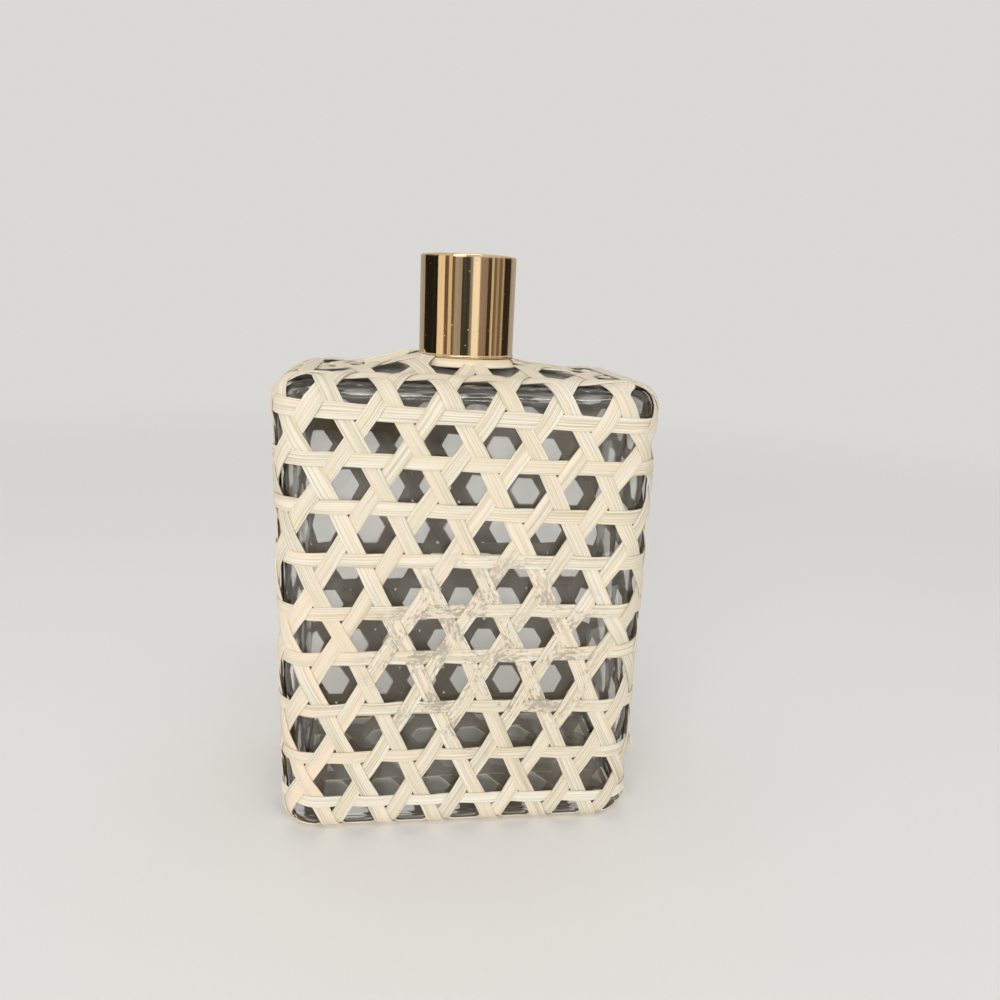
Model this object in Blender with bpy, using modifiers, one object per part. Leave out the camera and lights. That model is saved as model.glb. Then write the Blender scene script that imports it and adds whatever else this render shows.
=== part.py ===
"""A flat glass whiskey bottle in an open hexagonal bamboo weave, with a tall gold screw cap.

Units are metres and +Z is up. The origin is under the middle of the base, and the front faces -Y.
The bottle is laid out on its own skin: u runs round the outline from the middle of the front, towards
+X, and v runs up the profile from the middle of the base to the middle of the top. The weave is set out
in even columns and rows, which named shares spread over the faces, and is laid in three plain layers
over the glass: rising strips, falling strips and, outermost, the hoops.
"""
import math

import bmesh
import bpy
from mathutils import Matrix, Vector

# Glass body
GLASS_WIDTH = 0.1115
GLASS_DEPTH = 0.0645
BODY_HEIGHT = 0.1401
CORNER_RADIUS = 0.0115
BASE_EDGE_RADIUS = 0.0042
TOP_EDGE_RADIUS = 0.0110
TOP_RISE = 0.0038
GLASS_WALL = 0.0035
GLASS_BASE = 0.0050
INNER_BASE_RADIUS = 0.0040
CORNER_STEPS = 4
BASE_EDGE_STEPS = 2
TOP_EDGE_STEPS = 4
TOP_RINGS = 4
TOP_SCORES = 8
TOP_SQUARENESS = 6

# Glass neck
NECK_FOOT_RADIUS = 0.0140
NECK_RADIUS = 0.01175
BORE_RADIUS = 0.00875
LIP_ROUND = 0.0008
MOUTH_ROUND = 0.0005
FLARE_STEPS = 3
FLAT_POINTS = 3

# Screw thread, a right-hand round ridge on the glass and another inside the cap
THREAD_PITCH = 0.0042
THREAD_TURNS = 1.25
THREAD_RIDGE_RADIUS = 0.00085
THREAD_RUN_OUT_RADIUS = 0.00035
THREAD_SUNK = 0.0002
THREAD_BELOW_LIP = 0.0030
THREAD_POINTS_PER_TURN = 24

# Cap
CAP_RADIUS = 0.01475
CAP_HEIGHT = 0.0304
CAP_SHEET = 0.00045
CAP_TOP_BEVEL = 0.0006
CAP_CURL_RADIUS = 0.0004
CAP_SIDES = 48
CAP_ABOVE_RING = 0.0004
LINER_WALL = 0.0009
LINER_TOP = 0.0014
LINER_RECESS = 0.0004
WAD_THICKNESS = 0.0012
WAD_EDGE_CLEARANCE = 0.0005

# Bamboo weave
STRIP_WIDTH = 0.0049
STRIP_THICKNESS = 0.00035
LAYER_GAP = 0.0002
STRIPS_ROUND = 20
RISING_COLUMNS = 7
FALLING_COLUMNS = 6
BASE_ROW_COUNT = 2
WALL_HOOPS = 9
TOP_ROW_COUNT = 2
HOOP_CORNER_RADIUS = 0.0040
CORNER_TUCK_SHARE = 0.6
SIDE_TOP_TUCK_SHARE = 0.95
SIDE_BASE_TUCK_SHARE = 0.7
STRIP_END_GAP = 0.0005
NECK_RING_WIDTH = 0.0045
NECK_RING_THICKNESS = 0.0012
NECK_RING_SIDES = 32

# The share of the weave's columns on each broad face and side, and of its rows on each part of the profile
FRONT_COLUMNS_SHARE = 0.26
SIDE_COLUMNS_SHARE = 0.129
CORNER_COLUMNS_SHARE = 0.25 - (FRONT_COLUMNS_SHARE + SIDE_COLUMNS_SHARE) / 2
BASE_ROWS_SHARE = 0.1416
BASE_EDGE_ROWS_SHARE = 0.0333
WALL_ROWS_SHARE = 0.6306
SHOULDER_ROWS_SHARE = 0.0872

# Clearance between pieces that touch
CLEARANCE = 0.0003

SMOOTH_ANGLE = math.radians(30)
MERGE_DISTANCE = LAYER_GAP / 10
WEAVE_ROWS = BASE_ROW_COUNT + WALL_HOOPS + TOP_ROW_COUNT
LAYER_STEP = STRIP_THICKNESS + LAYER_GAP
RISING_LAYER = CLEARANCE
FALLING_LAYER = RISING_LAYER + LAYER_STEP
HOOP_LAYER = FALLING_LAYER + LAYER_STEP
WEAVE_THICKNESS = HOOP_LAYER + STRIP_THICKNESS

BASE_Z = WEAVE_THICKNESS
SHOULDER_Z = BASE_Z + BODY_HEIGHT
HALF_WIDTH = GLASS_WIDTH / 2
HALF_DEPTH = GLASS_DEPTH / 2
FRONT_FLAT = GLASS_WIDTH - 2 * CORNER_RADIUS
SIDE_FLAT = GLASS_DEPTH - 2 * CORNER_RADIUS
CORNER_ARC = CORNER_RADIUS * math.pi / 2
PERIMETER = 2 * (FRONT_FLAT + SIDE_FLAT) + 4 * CORNER_ARC
PITCH = PERIMETER / STRIPS_ROUND

# Where each part of the profile ends, measured up the skin from the middle of the base
BASE_END = HALF_DEPTH - BASE_EDGE_RADIUS
WALL_START = BASE_END + BASE_EDGE_RADIUS * math.pi / 2
WALL_END = WALL_START + BODY_HEIGHT - BASE_EDGE_RADIUS - TOP_EDGE_RADIUS
SHOULDER_END = WALL_END + TOP_EDGE_RADIUS * math.pi / 2
TOP_MIDDLE = SHOULDER_END + HALF_DEPTH - TOP_EDGE_RADIUS
ROW_HEIGHT = TOP_MIDDLE / WEAVE_ROWS

# The same parts in the even columns and rows that the weave is set out in
FRONT_LAID = FRONT_COLUMNS_SHARE * PERIMETER
SIDE_LAID = SIDE_COLUMNS_SHARE * PERIMETER
CORNER_LAID = CORNER_COLUMNS_SHARE * PERIMETER
BASE_LAID = BASE_ROWS_SHARE * TOP_MIDDLE
WALL_START_LAID = BASE_LAID + BASE_EDGE_ROWS_SHARE * TOP_MIDDLE
WALL_END_LAID = WALL_START_LAID + WALL_ROWS_SHARE * TOP_MIDDLE
SHOULDER_LAID = WALL_END_LAID + SHOULDER_ROWS_SHARE * TOP_MIDDLE

NECK_FOOT_Z = SHOULDER_Z + TOP_RISE
CAP_BASE_Z = NECK_FOOT_Z + CLEARANCE + NECK_RING_THICKNESS + CAP_ABOVE_RING
CAP_TOP_Z = CAP_BASE_Z + CAP_HEIGHT
LINER_TOP_Z = CAP_TOP_Z - CAP_SHEET - CLEARANCE
LINER_RADIUS = CAP_RADIUS - CAP_SHEET - CLEARANCE
LINER_BORE = LINER_RADIUS - LINER_WALL
WAD_TOP_Z = LINER_TOP_Z - LINER_TOP - CLEARANCE
WAD_RADIUS = LINER_BORE - WAD_EDGE_CLEARANCE
LIP_Z = WAD_TOP_Z - WAD_THICKNESS - CLEARANCE
THREAD_START_Z = LIP_Z - THREAD_BELOW_LIP - THREAD_TURNS * THREAD_PITCH
NECK_RING_INNER = NECK_FOOT_RADIUS + CLEARANCE
NECK_RING_OUTER = NECK_RING_INNER + NECK_RING_WIDTH
STRIP_NECK_CLEAR = NECK_RING_OUTER + NECK_RING_THICKNESS / 2 + CLEARANCE

for old in list(bpy.data.objects):
    bpy.data.objects.remove(old, do_unlink=True)

bottle = bpy.data.collections.new("Wicker wrapped whiskey bottle")
bpy.context.scene.collection.children.link(bottle)
bpy.context.view_layer.active_layer_collection = bpy.context.view_layer.layer_collection.children[bottle.name]
helpers = bpy.data.collections.new("Thread ridges")
bpy.context.scene.collection.children.link(helpers)


def principled(name, colour, roughness, metallic=0.0, transmission=0.0):
    material = bpy.data.materials.new(name)
    material.use_nodes = True
    shader = material.node_tree.nodes["Principled BSDF"]
    shader.inputs["Base Color"].default_value = (*colour, 1)
    shader.inputs["Roughness"].default_value = roughness
    shader.inputs["Metallic"].default_value = metallic
    shader.inputs["Transmission Weight"].default_value = transmission
    return material


clear_glass = principled("Clear glass", (0.86, 0.88, 0.86), 0.03, transmission=1.0)
gold_metal = principled("Gold metal", (0.83, 0.62, 0.34), 0.12, metallic=1.0)
liner_plastic = principled("White liner plastic", (0.85, 0.84, 0.80), 0.45)
wad_board = principled("Sealing board", (0.80, 0.76, 0.68), 0.80)
rising_bamboo = principled("Rising bamboo", (0.80, 0.69, 0.47), 0.55)
falling_bamboo = principled("Falling bamboo", (0.83, 0.72, 0.50), 0.55)
hoop_bamboo = principled("Hoop bamboo", (0.86, 0.76, 0.55), 0.55)
ring_bamboo = principled("Neck ring bamboo", (0.85, 0.72, 0.52), 0.55)


def add_object(name, data, material):
    data.materials.append(material)
    piece = bpy.data.objects.new(name, data)
    bottle.objects.link(piece)
    return piece


def mesh_object(name, bm, material):
    """Turns an edited mesh into a named object with its faces pointing out."""
    bmesh.ops.recalc_face_normals(bm, faces=bm.faces)
    mesh = bpy.data.meshes.new(name)
    bm.to_mesh(mesh)
    bm.free()
    mesh.shade_smooth()
    mesh.set_sharp_from_angle(angle=SMOOTH_ANGLE)
    return add_object(name, mesh, material)


def facet(share, count):
    """The facet that a share of an arc falls in, and how far along that facet it lies."""
    position = min(max(share, 0), 1) * count
    number = min(int(position), count - 1)
    return number, position - number


def around(u, out):
    """The plan point u along the glass outline, moved out by out. Corners are flat facets."""
    left = (u + FRONT_FLAT / 2) % PERIMETER
    for side in range(4):
        flat = SIDE_FLAT if side % 2 else FRONT_FLAT
        reach = HALF_WIDTH if side % 2 else HALF_DEPTH
        turn = Matrix.Rotation(side * math.pi / 2, 2)
        if left <= flat:
            return turn @ Vector((left - flat / 2, -reach - out))
        left -= flat
        if left <= CORNER_ARC:
            number, along = facet(left / CORNER_ARC, CORNER_STEPS)
            centre = Vector((flat / 2, CORNER_RADIUS - reach))
            ends = []
            for k in (number, number + 1):
                angle = k / CORNER_STEPS * math.pi / 2
                spoke = Vector((math.sin(angle), -math.cos(angle)))
                ends.append(centre + spoke * (CORNER_RADIUS + out))
            return turn @ ends[0].lerp(ends[1], along)
        left -= CORNER_ARC
    return turn @ Vector((flat / 2, -reach - out))


def top_z(x, y):
    """The height of the glass's top over a plan point: a low dome with a rounded edge."""
    half_x = HALF_WIDTH - TOP_EDGE_RADIUS
    half_y = HALF_DEPTH - TOP_EDGE_RADIUS
    radius = max(math.hypot(x, y), NECK_FOOT_RADIUS)
    angle = math.atan2(y, x)
    square = abs(math.cos(angle) / half_x) ** TOP_SQUARENESS + abs(math.sin(angle) / half_y) ** TOP_SQUARENESS
    border = square ** (-1 / TOP_SQUARENESS)
    past = math.hypot(max(abs(x) - half_x, 0), max(abs(y) - half_y, 0))
    drop = TOP_EDGE_RADIUS - math.sqrt(max(TOP_EDGE_RADIUS ** 2 - past ** 2, 0))
    climbed = min(max((border - radius) / (border - NECK_FOOT_RADIUS), 0), 1)
    return SHOULDER_Z - drop + TOP_RISE * climbed


def edge_point(u, tilt, radius, centre_z, h):
    """A point on a rounded edge: tilt is 0 at the wall, and the edge's flat end is at a right angle."""
    inset = radius * (1 - math.cos(tilt))
    plan = around(u, h * math.cos(tilt) - inset)
    return Vector((*plan, centre_z + (radius + h) * math.sin(tilt)))


def skin(u, v, h):
    """The point at u and v on the bottle's skin, h above the glass."""
    if v <= BASE_END:
        plan = around(u, v - HALF_DEPTH)
        return Vector((*plan, BASE_Z - h))
    if v < WALL_START:
        number, along = facet((v - BASE_END) / (WALL_START - BASE_END), BASE_EDGE_STEPS)
        ends = []
        for k in (number, number + 1):
            tilt = (k / BASE_EDGE_STEPS - 1) * math.pi / 2
            ends.append(edge_point(u, tilt, BASE_EDGE_RADIUS, BASE_Z + BASE_EDGE_RADIUS, h))
        return ends[0].lerp(ends[1], along)
    if v <= WALL_END:
        plan = around(u, h)
        return Vector((*plan, BASE_Z + BASE_EDGE_RADIUS + v - WALL_START))
    if v < SHOULDER_END:
        number, along = facet((v - WALL_END) / (SHOULDER_END - WALL_END), TOP_EDGE_STEPS)
        ends = []
        for k in (number, number + 1):
            tilt = k / TOP_EDGE_STEPS * math.pi / 2
            ends.append(edge_point(u, tilt, TOP_EDGE_RADIUS, SHOULDER_Z - TOP_EDGE_RADIUS, h))
        return ends[0].lerp(ends[1], along)
    plan = around(u, SHOULDER_END - v - TOP_EDGE_RADIUS)
    return Vector((*plan, top_z(*plan) + h))


def base_v(inset):
    """How far up the skin a point lies that is inset from the edge, on the flat of the base."""
    return HALF_DEPTH - inset


def shoulder_v(inset):
    """How far up the skin a point lies that is inset from the wall, on the rounded top edge."""
    return WALL_END + TOP_EDGE_RADIUS * math.acos(1 - inset / TOP_EDGE_RADIUS)


def stations(front, corner, side):
    """Where the flats and corners end, round the outline from the middle of the front."""
    ends = [0, front / 2]
    for flat in (side, front, side):
        ends.append(ends[-1] + corner)
        ends.append(ends[-1] + flat)
    ends.append(ends[-1] + corner)
    ends.append(ends[-1] + front / 2)
    return ends


U_LAID = stations(FRONT_LAID, CORNER_LAID, SIDE_LAID)
U_TRUE = stations(FRONT_FLAT, CORNER_ARC, SIDE_FLAT)
V_LAID = (0, BASE_LAID, WALL_START_LAID, WALL_END_LAID, SHOULDER_LAID, TOP_MIDDLE)
V_TRUE = (0, BASE_END, WALL_START, WALL_END, SHOULDER_END, TOP_MIDDLE)


def spread(value, before, after):
    """A place between stations, carried from one list of stations to another."""
    k = 0
    while k < len(before) - 2 and value > before[k + 1]:
        k += 1
    return after[k] + (value - before[k]) * (after[k + 1] - after[k]) / (before[k + 1] - before[k])


def woven_skin(u, v, h):
    """The point at u and v in the weave's even columns and rows, h above the glass."""
    return skin(spread(u % PERIMETER, U_LAID, U_TRUE), spread(v, V_LAID, V_TRUE), h)


U_BREAKS = []
for lap in (-1, 0, 1):
    for flat_end in U_LAID[1:-1:2]:
        for k in range(CORNER_STEPS + 1):
            U_BREAKS.append(lap * PERIMETER + flat_end + k * CORNER_LAID / CORNER_STEPS)
V_BREAKS = []
for k in range(BASE_EDGE_STEPS + 1):
    V_BREAKS.append(BASE_LAID + k / BASE_EDGE_STEPS * (WALL_START_LAID - BASE_LAID))
for k in range(TOP_EDGE_STEPS + 1):
    V_BREAKS.append(WALL_END_LAID + k / TOP_EDGE_STEPS * (SHOULDER_LAID - WALL_END_LAID))
for k in range(1, TOP_SCORES):
    V_BREAKS.append(SHOULDER_LAID + k / TOP_SCORES * (TOP_MIDDLE - SHOULDER_LAID))


def bend_bar(name, corner, across, along, layer, cuts, place, material):
    """A flat bar, scored at each cut and bent over the bottle by place(across, along, height)."""
    bm = bmesh.new()
    bmesh.ops.create_cube(bm, size=1)
    columns = (Vector((*across, 0)), Vector((*along, 0)), Vector((0, 0, STRIP_THICKNESS)))
    shape = Matrix(columns).transposed().to_4x4()
    middle = Vector((*corner, layer)) + (columns[0] + columns[1] + columns[2]) / 2
    bmesh.ops.transform(bm, matrix=Matrix.Translation(middle) @ shape, verts=bm.verts)
    for axis, values in enumerate(cuts):
        low = min(vertex.co[axis] for vertex in bm.verts) + STRIP_THICKNESS
        high = max(vertex.co[axis] for vertex in bm.verts) - STRIP_THICKNESS
        normal = Vector((axis == 0, axis == 1, 0))
        for value in values:
            if low < value < high:
                geometry = bm.verts[:] + bm.edges[:] + bm.faces[:]
                bmesh.ops.bisect_plane(bm, geom=geometry, dist=MERGE_DISTANCE, plane_co=normal * value,
                                       plane_no=normal)
    for vertex in bm.verts:
        vertex.co = place(*vertex.co)
    return mesh_object(name, bm, material)


def on_flat(u, width):
    """The front or back face's middle if a strip of that width round u lies on its flat, else None."""
    for middle in (0, PERIMETER / 2):
        local = (u - middle + PERIMETER / 2) % PERIMETER - PERIMETER / 2
        if abs(local) + width / 2 <= FRONT_LAID / 2:
            return middle, local
    return None


def tucked_inset(u, width, side_inset):
    """How far in from the edge a strip at the side or corner ends: less where the corner is tight."""
    for middle in (PERIMETER / 4, PERIMETER * 3 / 4):
        local = (u - middle + PERIMETER / 2) % PERIMETER - PERIMETER / 2
        if abs(local) + width / 2 <= SIDE_LAID / 2:
            return side_inset
    return CORNER_TUCK_SHARE * CORNER_RADIUS


def climb(start, slope, width):
    """How far up the skin a strip goes: to the middle of the top, the neck ring or its tuck."""
    found = on_flat(start + slope * SHOULDER_LAID, width)
    if found is None:
        side_inset = SIDE_TOP_TUCK_SHARE * TOP_EDGE_RADIUS
        inset = tucked_inset(start + slope * SHOULDER_LAID, width, side_inset)
        return spread(shoulder_v(min(inset, side_inset)), V_TRUE, V_LAID)
    run = (FRONT_LAID - width) / 2 - math.copysign(found[1], found[1] * slope)
    limit = min(SHOULDER_LAID + run / abs(slope), TOP_MIDDLE - STRIP_END_GAP / 2)
    v = SHOULDER_LAID
    while v < limit:
        beside = abs(found[1] + slope * (v - SHOULDER_LAID)) - width / 2
        beside_true = max(beside, 0) * FRONT_FLAT / FRONT_LAID
        if math.hypot(beside_true, TOP_MIDDLE - spread(v, V_LAID, V_TRUE)) < STRIP_NECK_CLEAR:
            return v - STRIP_THICKNESS
        v += STRIP_THICKNESS
    return limit


def lay_family(label, columns, sign, layer, material):
    """One family of slanting strips. Those that cross the base from front to back are one piece."""
    slope = sign * columns * PITCH / TOP_MIDDLE
    width = STRIP_WIDTH * math.hypot(1, slope)
    pieces = []
    for i in range(STRIPS_ROUND):
        start = (i + 0.5) * PITCH
        high = climb(start, slope, width)
        found = on_flat(start + slope * BASE_LAID, width)
        if found is None:
            inset = tucked_inset(start + slope * BASE_LAID, width, SIDE_BASE_TUCK_SHARE * CORNER_RADIUS)
            pieces.append((0, start, spread(base_v(inset), V_TRUE, V_LAID), high))
            continue
        middle = found[0]
        local = found[1] - slope * BASE_LAID
        edge = math.copysign((FRONT_LAID - width) / 2, -slope)
        low = (edge - local) / slope
        if low > -BASE_LAID:
            deepest = spread(base_v(CORNER_TUCK_SHARE * CORNER_RADIUS), V_TRUE, V_LAID)
            low = max(low, STRIP_END_GAP - deepest)
            pieces.append((middle, local, low, high))
        elif middle == 0:
            partner = PERIMETER / 2 - local
            pieces.append((middle, local, -climb(partner, slope, width), high))
    for number, (middle, local, low, high) in enumerate(pieces, 1):
        corner = (local + slope * low - width / 2, low)
        along = (slope * (high - low), high - low)
        v_cuts = [sign * v for v in V_BREAKS for sign in (-1, 1)]

        def place(x, v, h):
            if v < 0:
                return woven_skin(PERIMETER / 2 + middle - x, -v, h)
            return woven_skin(middle + x, v, h)

        bend_bar(f"{label}_strip_{number:02d}", corner, (width, 0), along, layer, (U_BREAKS, v_cuts), place,
                 material)


def outline(half_x, half_y, radius, flat_points=0):
    """A rounded rectangle in plan, counter-clockwise from the front's right end.

    Each of its flats has flat_points extra points.
    """
    corners = []
    for side in range(4):
        flat = (half_y if side % 2 else half_x) - radius
        reach = half_x if side % 2 else half_y
        turn = Matrix.Rotation(side * math.pi / 2, 2)
        for k in range(CORNER_STEPS + 1):
            angle = k / CORNER_STEPS * math.pi / 2
            spoke = Vector((math.sin(angle), -math.cos(angle))) * radius
            corners.append(turn @ (Vector((flat, radius - reach)) + spoke))
    points = []
    for k, corner in enumerate(corners):
        points.append(corner)
        if k % (CORNER_STEPS + 1) == CORNER_STEPS:
            following = corners[(k + 1) % len(corners)]
            points.extend(corner.lerp(following, j / (flat_points + 1)) for j in range(1, flat_points + 1))
    return points


def circle(radius, count):
    turns = [k / count * math.tau for k in range(count)]
    return [Vector((math.cos(angle), math.sin(angle))) * radius for angle in turns]


def ribbon(name, rings, thickness, material):
    """A closed band through rings of points, thickened outwards."""
    bm = bmesh.new()
    loops = [[bm.verts.new(point) for point in ring] for ring in rings]
    for lower, upper in zip(loops, loops[1:]):
        for k, vertex in enumerate(lower):
            after = (k + 1) % len(lower)
            bm.faces.new((vertex, lower[after], upper[after], upper[k]))
    mesh = bpy.data.meshes.new(name)
    bm.to_mesh(mesh)
    bm.free()
    piece = add_object(name, mesh, material)
    solidify = piece.modifiers.new("Thickness", "SOLIDIFY")
    solidify.thickness = thickness
    solidify.offset = 1
    solidify.use_even_offset = True
    return piece


def laid_ring(plan, h):
    """A plan outline laid on the top of the bottle, h above the glass."""
    return [Vector((*point, top_z(*point) + h)) for point in plan]


def row_v(number):
    """How far up the skin a row of horizontal strips lies: midway between crossings of the slanting ones."""
    return spread((number + 0.5) * ROW_HEIGHT, V_LAID, V_TRUE)


def add_wall_hoops():
    """The level hoops round the walls, over both families of slanting strips."""
    reach = HOOP_LAYER
    for number in range(WALL_HOOPS):
        middle = BASE_Z + BASE_EDGE_RADIUS + row_v(BASE_ROW_COUNT + number) - WALL_START
        plan = outline(HALF_WIDTH + reach, HALF_DEPTH + reach, CORNER_RADIUS + reach)
        edges = (middle - STRIP_WIDTH / 2, middle + STRIP_WIDTH / 2)
        rings = [[Vector((*point, z)) for point in plan] for z in edges]
        ribbon(f"hoop_{number + 1:02d}", rings, STRIP_THICKNESS, hoop_bamboo)


def add_top_strips():
    """The hoop on the shoulder and the four short strips beside the neck."""
    shoulder_inset = TOP_EDGE_RADIUS + row_v(BASE_ROW_COUNT + WALL_HOOPS) - SHOULDER_END
    rings = []
    for across in (-1, 0, 1):
        inset = shoulder_inset + across * STRIP_WIDTH / 2
        radius = HOOP_CORNER_RADIUS - across * STRIP_WIDTH / 2
        plan = outline(HALF_WIDTH - inset, HALF_DEPTH - inset, radius, TOP_SCORES)
        rings.append(laid_ring(plan, HOOP_LAYER))
    ribbon("shoulder_hoop", rings, STRIP_THICKNESS, hoop_bamboo)

    top_y = TOP_MIDDLE - row_v(WEAVE_ROWS - 1)
    top_end = HALF_WIDTH - shoulder_inset - STRIP_WIDTH / 2 - CLEARANCE
    top_cuts = [sign * STRIP_NECK_CLEAR + sign * k * (top_end - STRIP_NECK_CLEAR) / TOP_SCORES
                for sign in (-1, 1) for k in range(1, TOP_SCORES)]

    def place_top(x, y, h):
        return Vector((x, y, top_z(x, y) + h))

    number = 0
    for side_x in (-1, 1):
        for side_y in (-1, 1):
            number += 1
            start = STRIP_NECK_CLEAR if side_x > 0 else -top_end
            corner = (start, side_y * top_y - STRIP_WIDTH / 2)
            along = (0, STRIP_WIDTH)
            bend_bar(f"top_strip_{number}", corner, (top_end - STRIP_NECK_CLEAR, 0), along, HOOP_LAYER,
                     (top_cuts, ()), place_top, hoop_bamboo)


def add_base_strips():
    """The hoop and the two straight strips under the base, which the bottle stands on."""
    rings = []
    for across in (1, -1):
        inset = HALF_DEPTH - row_v(1) + across * STRIP_WIDTH / 2
        radius = HOOP_CORNER_RADIUS - across * STRIP_WIDTH / 2
        plan = outline(HALF_WIDTH - inset, HALF_DEPTH - inset, radius)
        rings.append([Vector((*point, STRIP_THICKNESS)) for point in plan])
    ribbon("base_hoop", rings, STRIP_THICKNESS, hoop_bamboo)
    reach = HALF_WIDTH - HALF_DEPTH + row_v(1) - STRIP_WIDTH / 2 - CLEARANCE
    for number, side in enumerate((-1, 1), 1):
        corner = (-reach, side * row_v(0) - STRIP_WIDTH / 2)
        bend_bar(f"base_strip_{number}", corner, (2 * reach, 0), (0, STRIP_WIDTH), 0, ((), ()),
                 lambda x, y, h: Vector((x, y, h)), hoop_bamboo)


def add_neck_ring():
    """The strip wound round the foot of the neck, over the ends of the weave."""
    rings = []
    for radius in (NECK_RING_OUTER, NECK_RING_INNER):
        rings.append(laid_ring(circle(radius, NECK_RING_SIDES), CLEARANCE))
    ribbon("neck_ring", rings, NECK_RING_THICKNESS, ring_bamboo)


def body_plan(inset):
    """The glass's outline, inset, with points along its flats so that it can be lofted to a circle."""
    return outline(HALF_WIDTH - inset, HALF_DEPTH - inset, CORNER_RADIUS - inset, FLAT_POINTS)


def top_plan(share):
    """The top's outline between the shoulder, at 0, and the foot of the neck, at 1."""
    border = body_plan(TOP_EDGE_RADIUS)
    side_middle = CORNER_STEPS + (FLAT_POINTS + 1) / 2
    points = []
    for k, point in enumerate(border):
        angle = (k - side_middle) / len(border) * math.tau
        target = Vector((math.cos(angle), math.sin(angle))) * NECK_FOOT_RADIUS
        points.append(point.lerp(target, share))
    return points


def round_ring(radius, z):
    """A level ring of the neck, with its points under those of the top."""
    scale = radius / NECK_FOOT_RADIUS
    return [Vector((*(point * scale), z)) for point in top_plan(1)]


def add_glass():
    """The bottle as one loft: up the outside, over the lip and down the inside."""
    rings = []
    for k in range(BASE_EDGE_STEPS + 1):
        tilt = (k / BASE_EDGE_STEPS - 1) * math.pi / 2
        plan = body_plan(BASE_EDGE_RADIUS * (1 - math.cos(tilt)))
        z = BASE_Z + BASE_EDGE_RADIUS * (1 + math.sin(tilt))
        rings.append([Vector((*point, z)) for point in plan])
    for k in range(TOP_EDGE_STEPS + 1):
        tilt = k / TOP_EDGE_STEPS * math.pi / 2
        plan = body_plan(TOP_EDGE_RADIUS * (1 - math.cos(tilt)))
        z = SHOULDER_Z - TOP_EDGE_RADIUS * (1 - math.sin(tilt))
        rings.append([Vector((*point, z)) for point in plan])
    for k in range(1, TOP_RINGS + 1):
        rings.append(laid_ring(top_plan(k / TOP_RINGS), 0))
    flare = NECK_FOOT_RADIUS - NECK_RADIUS
    for k in range(1, FLARE_STEPS + 1):
        angle = k / FLARE_STEPS * math.pi / 2
        rings.append(round_ring(NECK_FOOT_RADIUS - flare * math.sin(angle),
                                NECK_FOOT_Z + flare * (1 - math.cos(angle))))
    rings.append(round_ring(NECK_RADIUS, LIP_Z - LIP_ROUND))
    rings.append(round_ring(NECK_RADIUS - LIP_ROUND, LIP_Z))
    rings.append(round_ring(BORE_RADIUS + MOUTH_ROUND, LIP_Z))
    rings.append(round_ring(BORE_RADIUS, LIP_Z - MOUTH_ROUND))
    inner_flare = NECK_FOOT_RADIUS - BORE_RADIUS
    for k in range(FLARE_STEPS, 0, -1):
        angle = k / FLARE_STEPS * math.pi / 2
        rings.append(round_ring(NECK_FOOT_RADIUS - inner_flare * math.sin(angle),
                                NECK_FOOT_Z - GLASS_WALL + inner_flare * (1 - math.cos(angle))))
    for k in range(TOP_RINGS, 0, -1):
        rings.append(laid_ring(top_plan(k / TOP_RINGS), -GLASS_WALL))
    inner_edge = TOP_EDGE_RADIUS - GLASS_WALL
    for k in range(TOP_EDGE_STEPS, -1, -1):
        tilt = k / TOP_EDGE_STEPS * math.pi / 2
        plan = body_plan(GLASS_WALL + inner_edge * (1 - math.cos(tilt)))
        z = SHOULDER_Z - TOP_EDGE_RADIUS + inner_edge * math.sin(tilt)
        rings.append([Vector((*point, z)) for point in plan])
    for k in range(BASE_EDGE_STEPS + 1):
        tilt = k / BASE_EDGE_STEPS * math.pi / 2
        plan = body_plan(GLASS_WALL + INNER_BASE_RADIUS * (1 - math.cos(tilt)))
        z = BASE_Z + GLASS_BASE + INNER_BASE_RADIUS * (1 - math.sin(tilt))
        rings.append([Vector((*point, z)) for point in plan])

    bm = bmesh.new()
    loops = [[bm.verts.new(point) for point in ring] for ring in rings]
    for lower, upper in zip(loops, loops[1:]):
        for k, vertex in enumerate(lower):
            after = (k + 1) % len(lower)
            bm.faces.new((vertex, lower[after], upper[after], upper[k]))
    bm.faces.new(loops[0])
    bm.faces.new(loops[-1])
    glass = mesh_object("glass_bottle", bm, clear_glass)
    join(glass, thread_ridge("neck_thread_ridge", NECK_RADIUS + THREAD_SUNK, THREAD_START_Z))


def thread_ridge(name, radius, start_z):
    """A round ridge up a right-hand helix, run out to a fine end at both ends."""
    curve = bpy.data.curves.new(name, "CURVE")
    curve.dimensions = "3D"
    curve.bevel_depth = THREAD_RIDGE_RADIUS
    curve.bevel_resolution = 1
    curve.use_fill_caps = True
    count = round(THREAD_TURNS * THREAD_POINTS_PER_TURN) + 1
    spline = curve.splines.new("POLY")
    spline.points.add(count - 1)
    for k, point in enumerate(spline.points):
        angle = k / THREAD_POINTS_PER_TURN * math.tau
        z = start_z + angle / math.tau * THREAD_PITCH
        point.co = (radius * math.cos(angle), radius * math.sin(angle), z, 1)
        if k in (0, count - 1):
            point.radius = THREAD_RUN_OUT_RADIUS / THREAD_RIDGE_RADIUS
    tube = bpy.data.objects.new(name, curve)
    helpers.objects.link(tube)
    bpy.context.view_layer.update()
    shape = bpy.data.meshes.new_from_object(tube.evaluated_get(bpy.context.evaluated_depsgraph_get()))
    bpy.data.objects.remove(tube, do_unlink=True)
    bm = bmesh.new()
    bm.from_mesh(shape)
    bmesh.ops.remove_doubles(bm, verts=bm.verts, dist=MERGE_DISTANCE)
    bmesh.ops.recalc_face_normals(bm, faces=bm.faces)
    bm.to_mesh(shape)
    bm.free()
    ridge = bpy.data.objects.new(name, shape)
    ridge.hide_render = True
    ridge.display_type = "WIRE"
    helpers.objects.link(ridge)
    return ridge


def join(piece, ridge):
    union = piece.modifiers.new("Thread", "BOOLEAN")
    union.operation = "UNION"
    union.object = ridge


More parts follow.
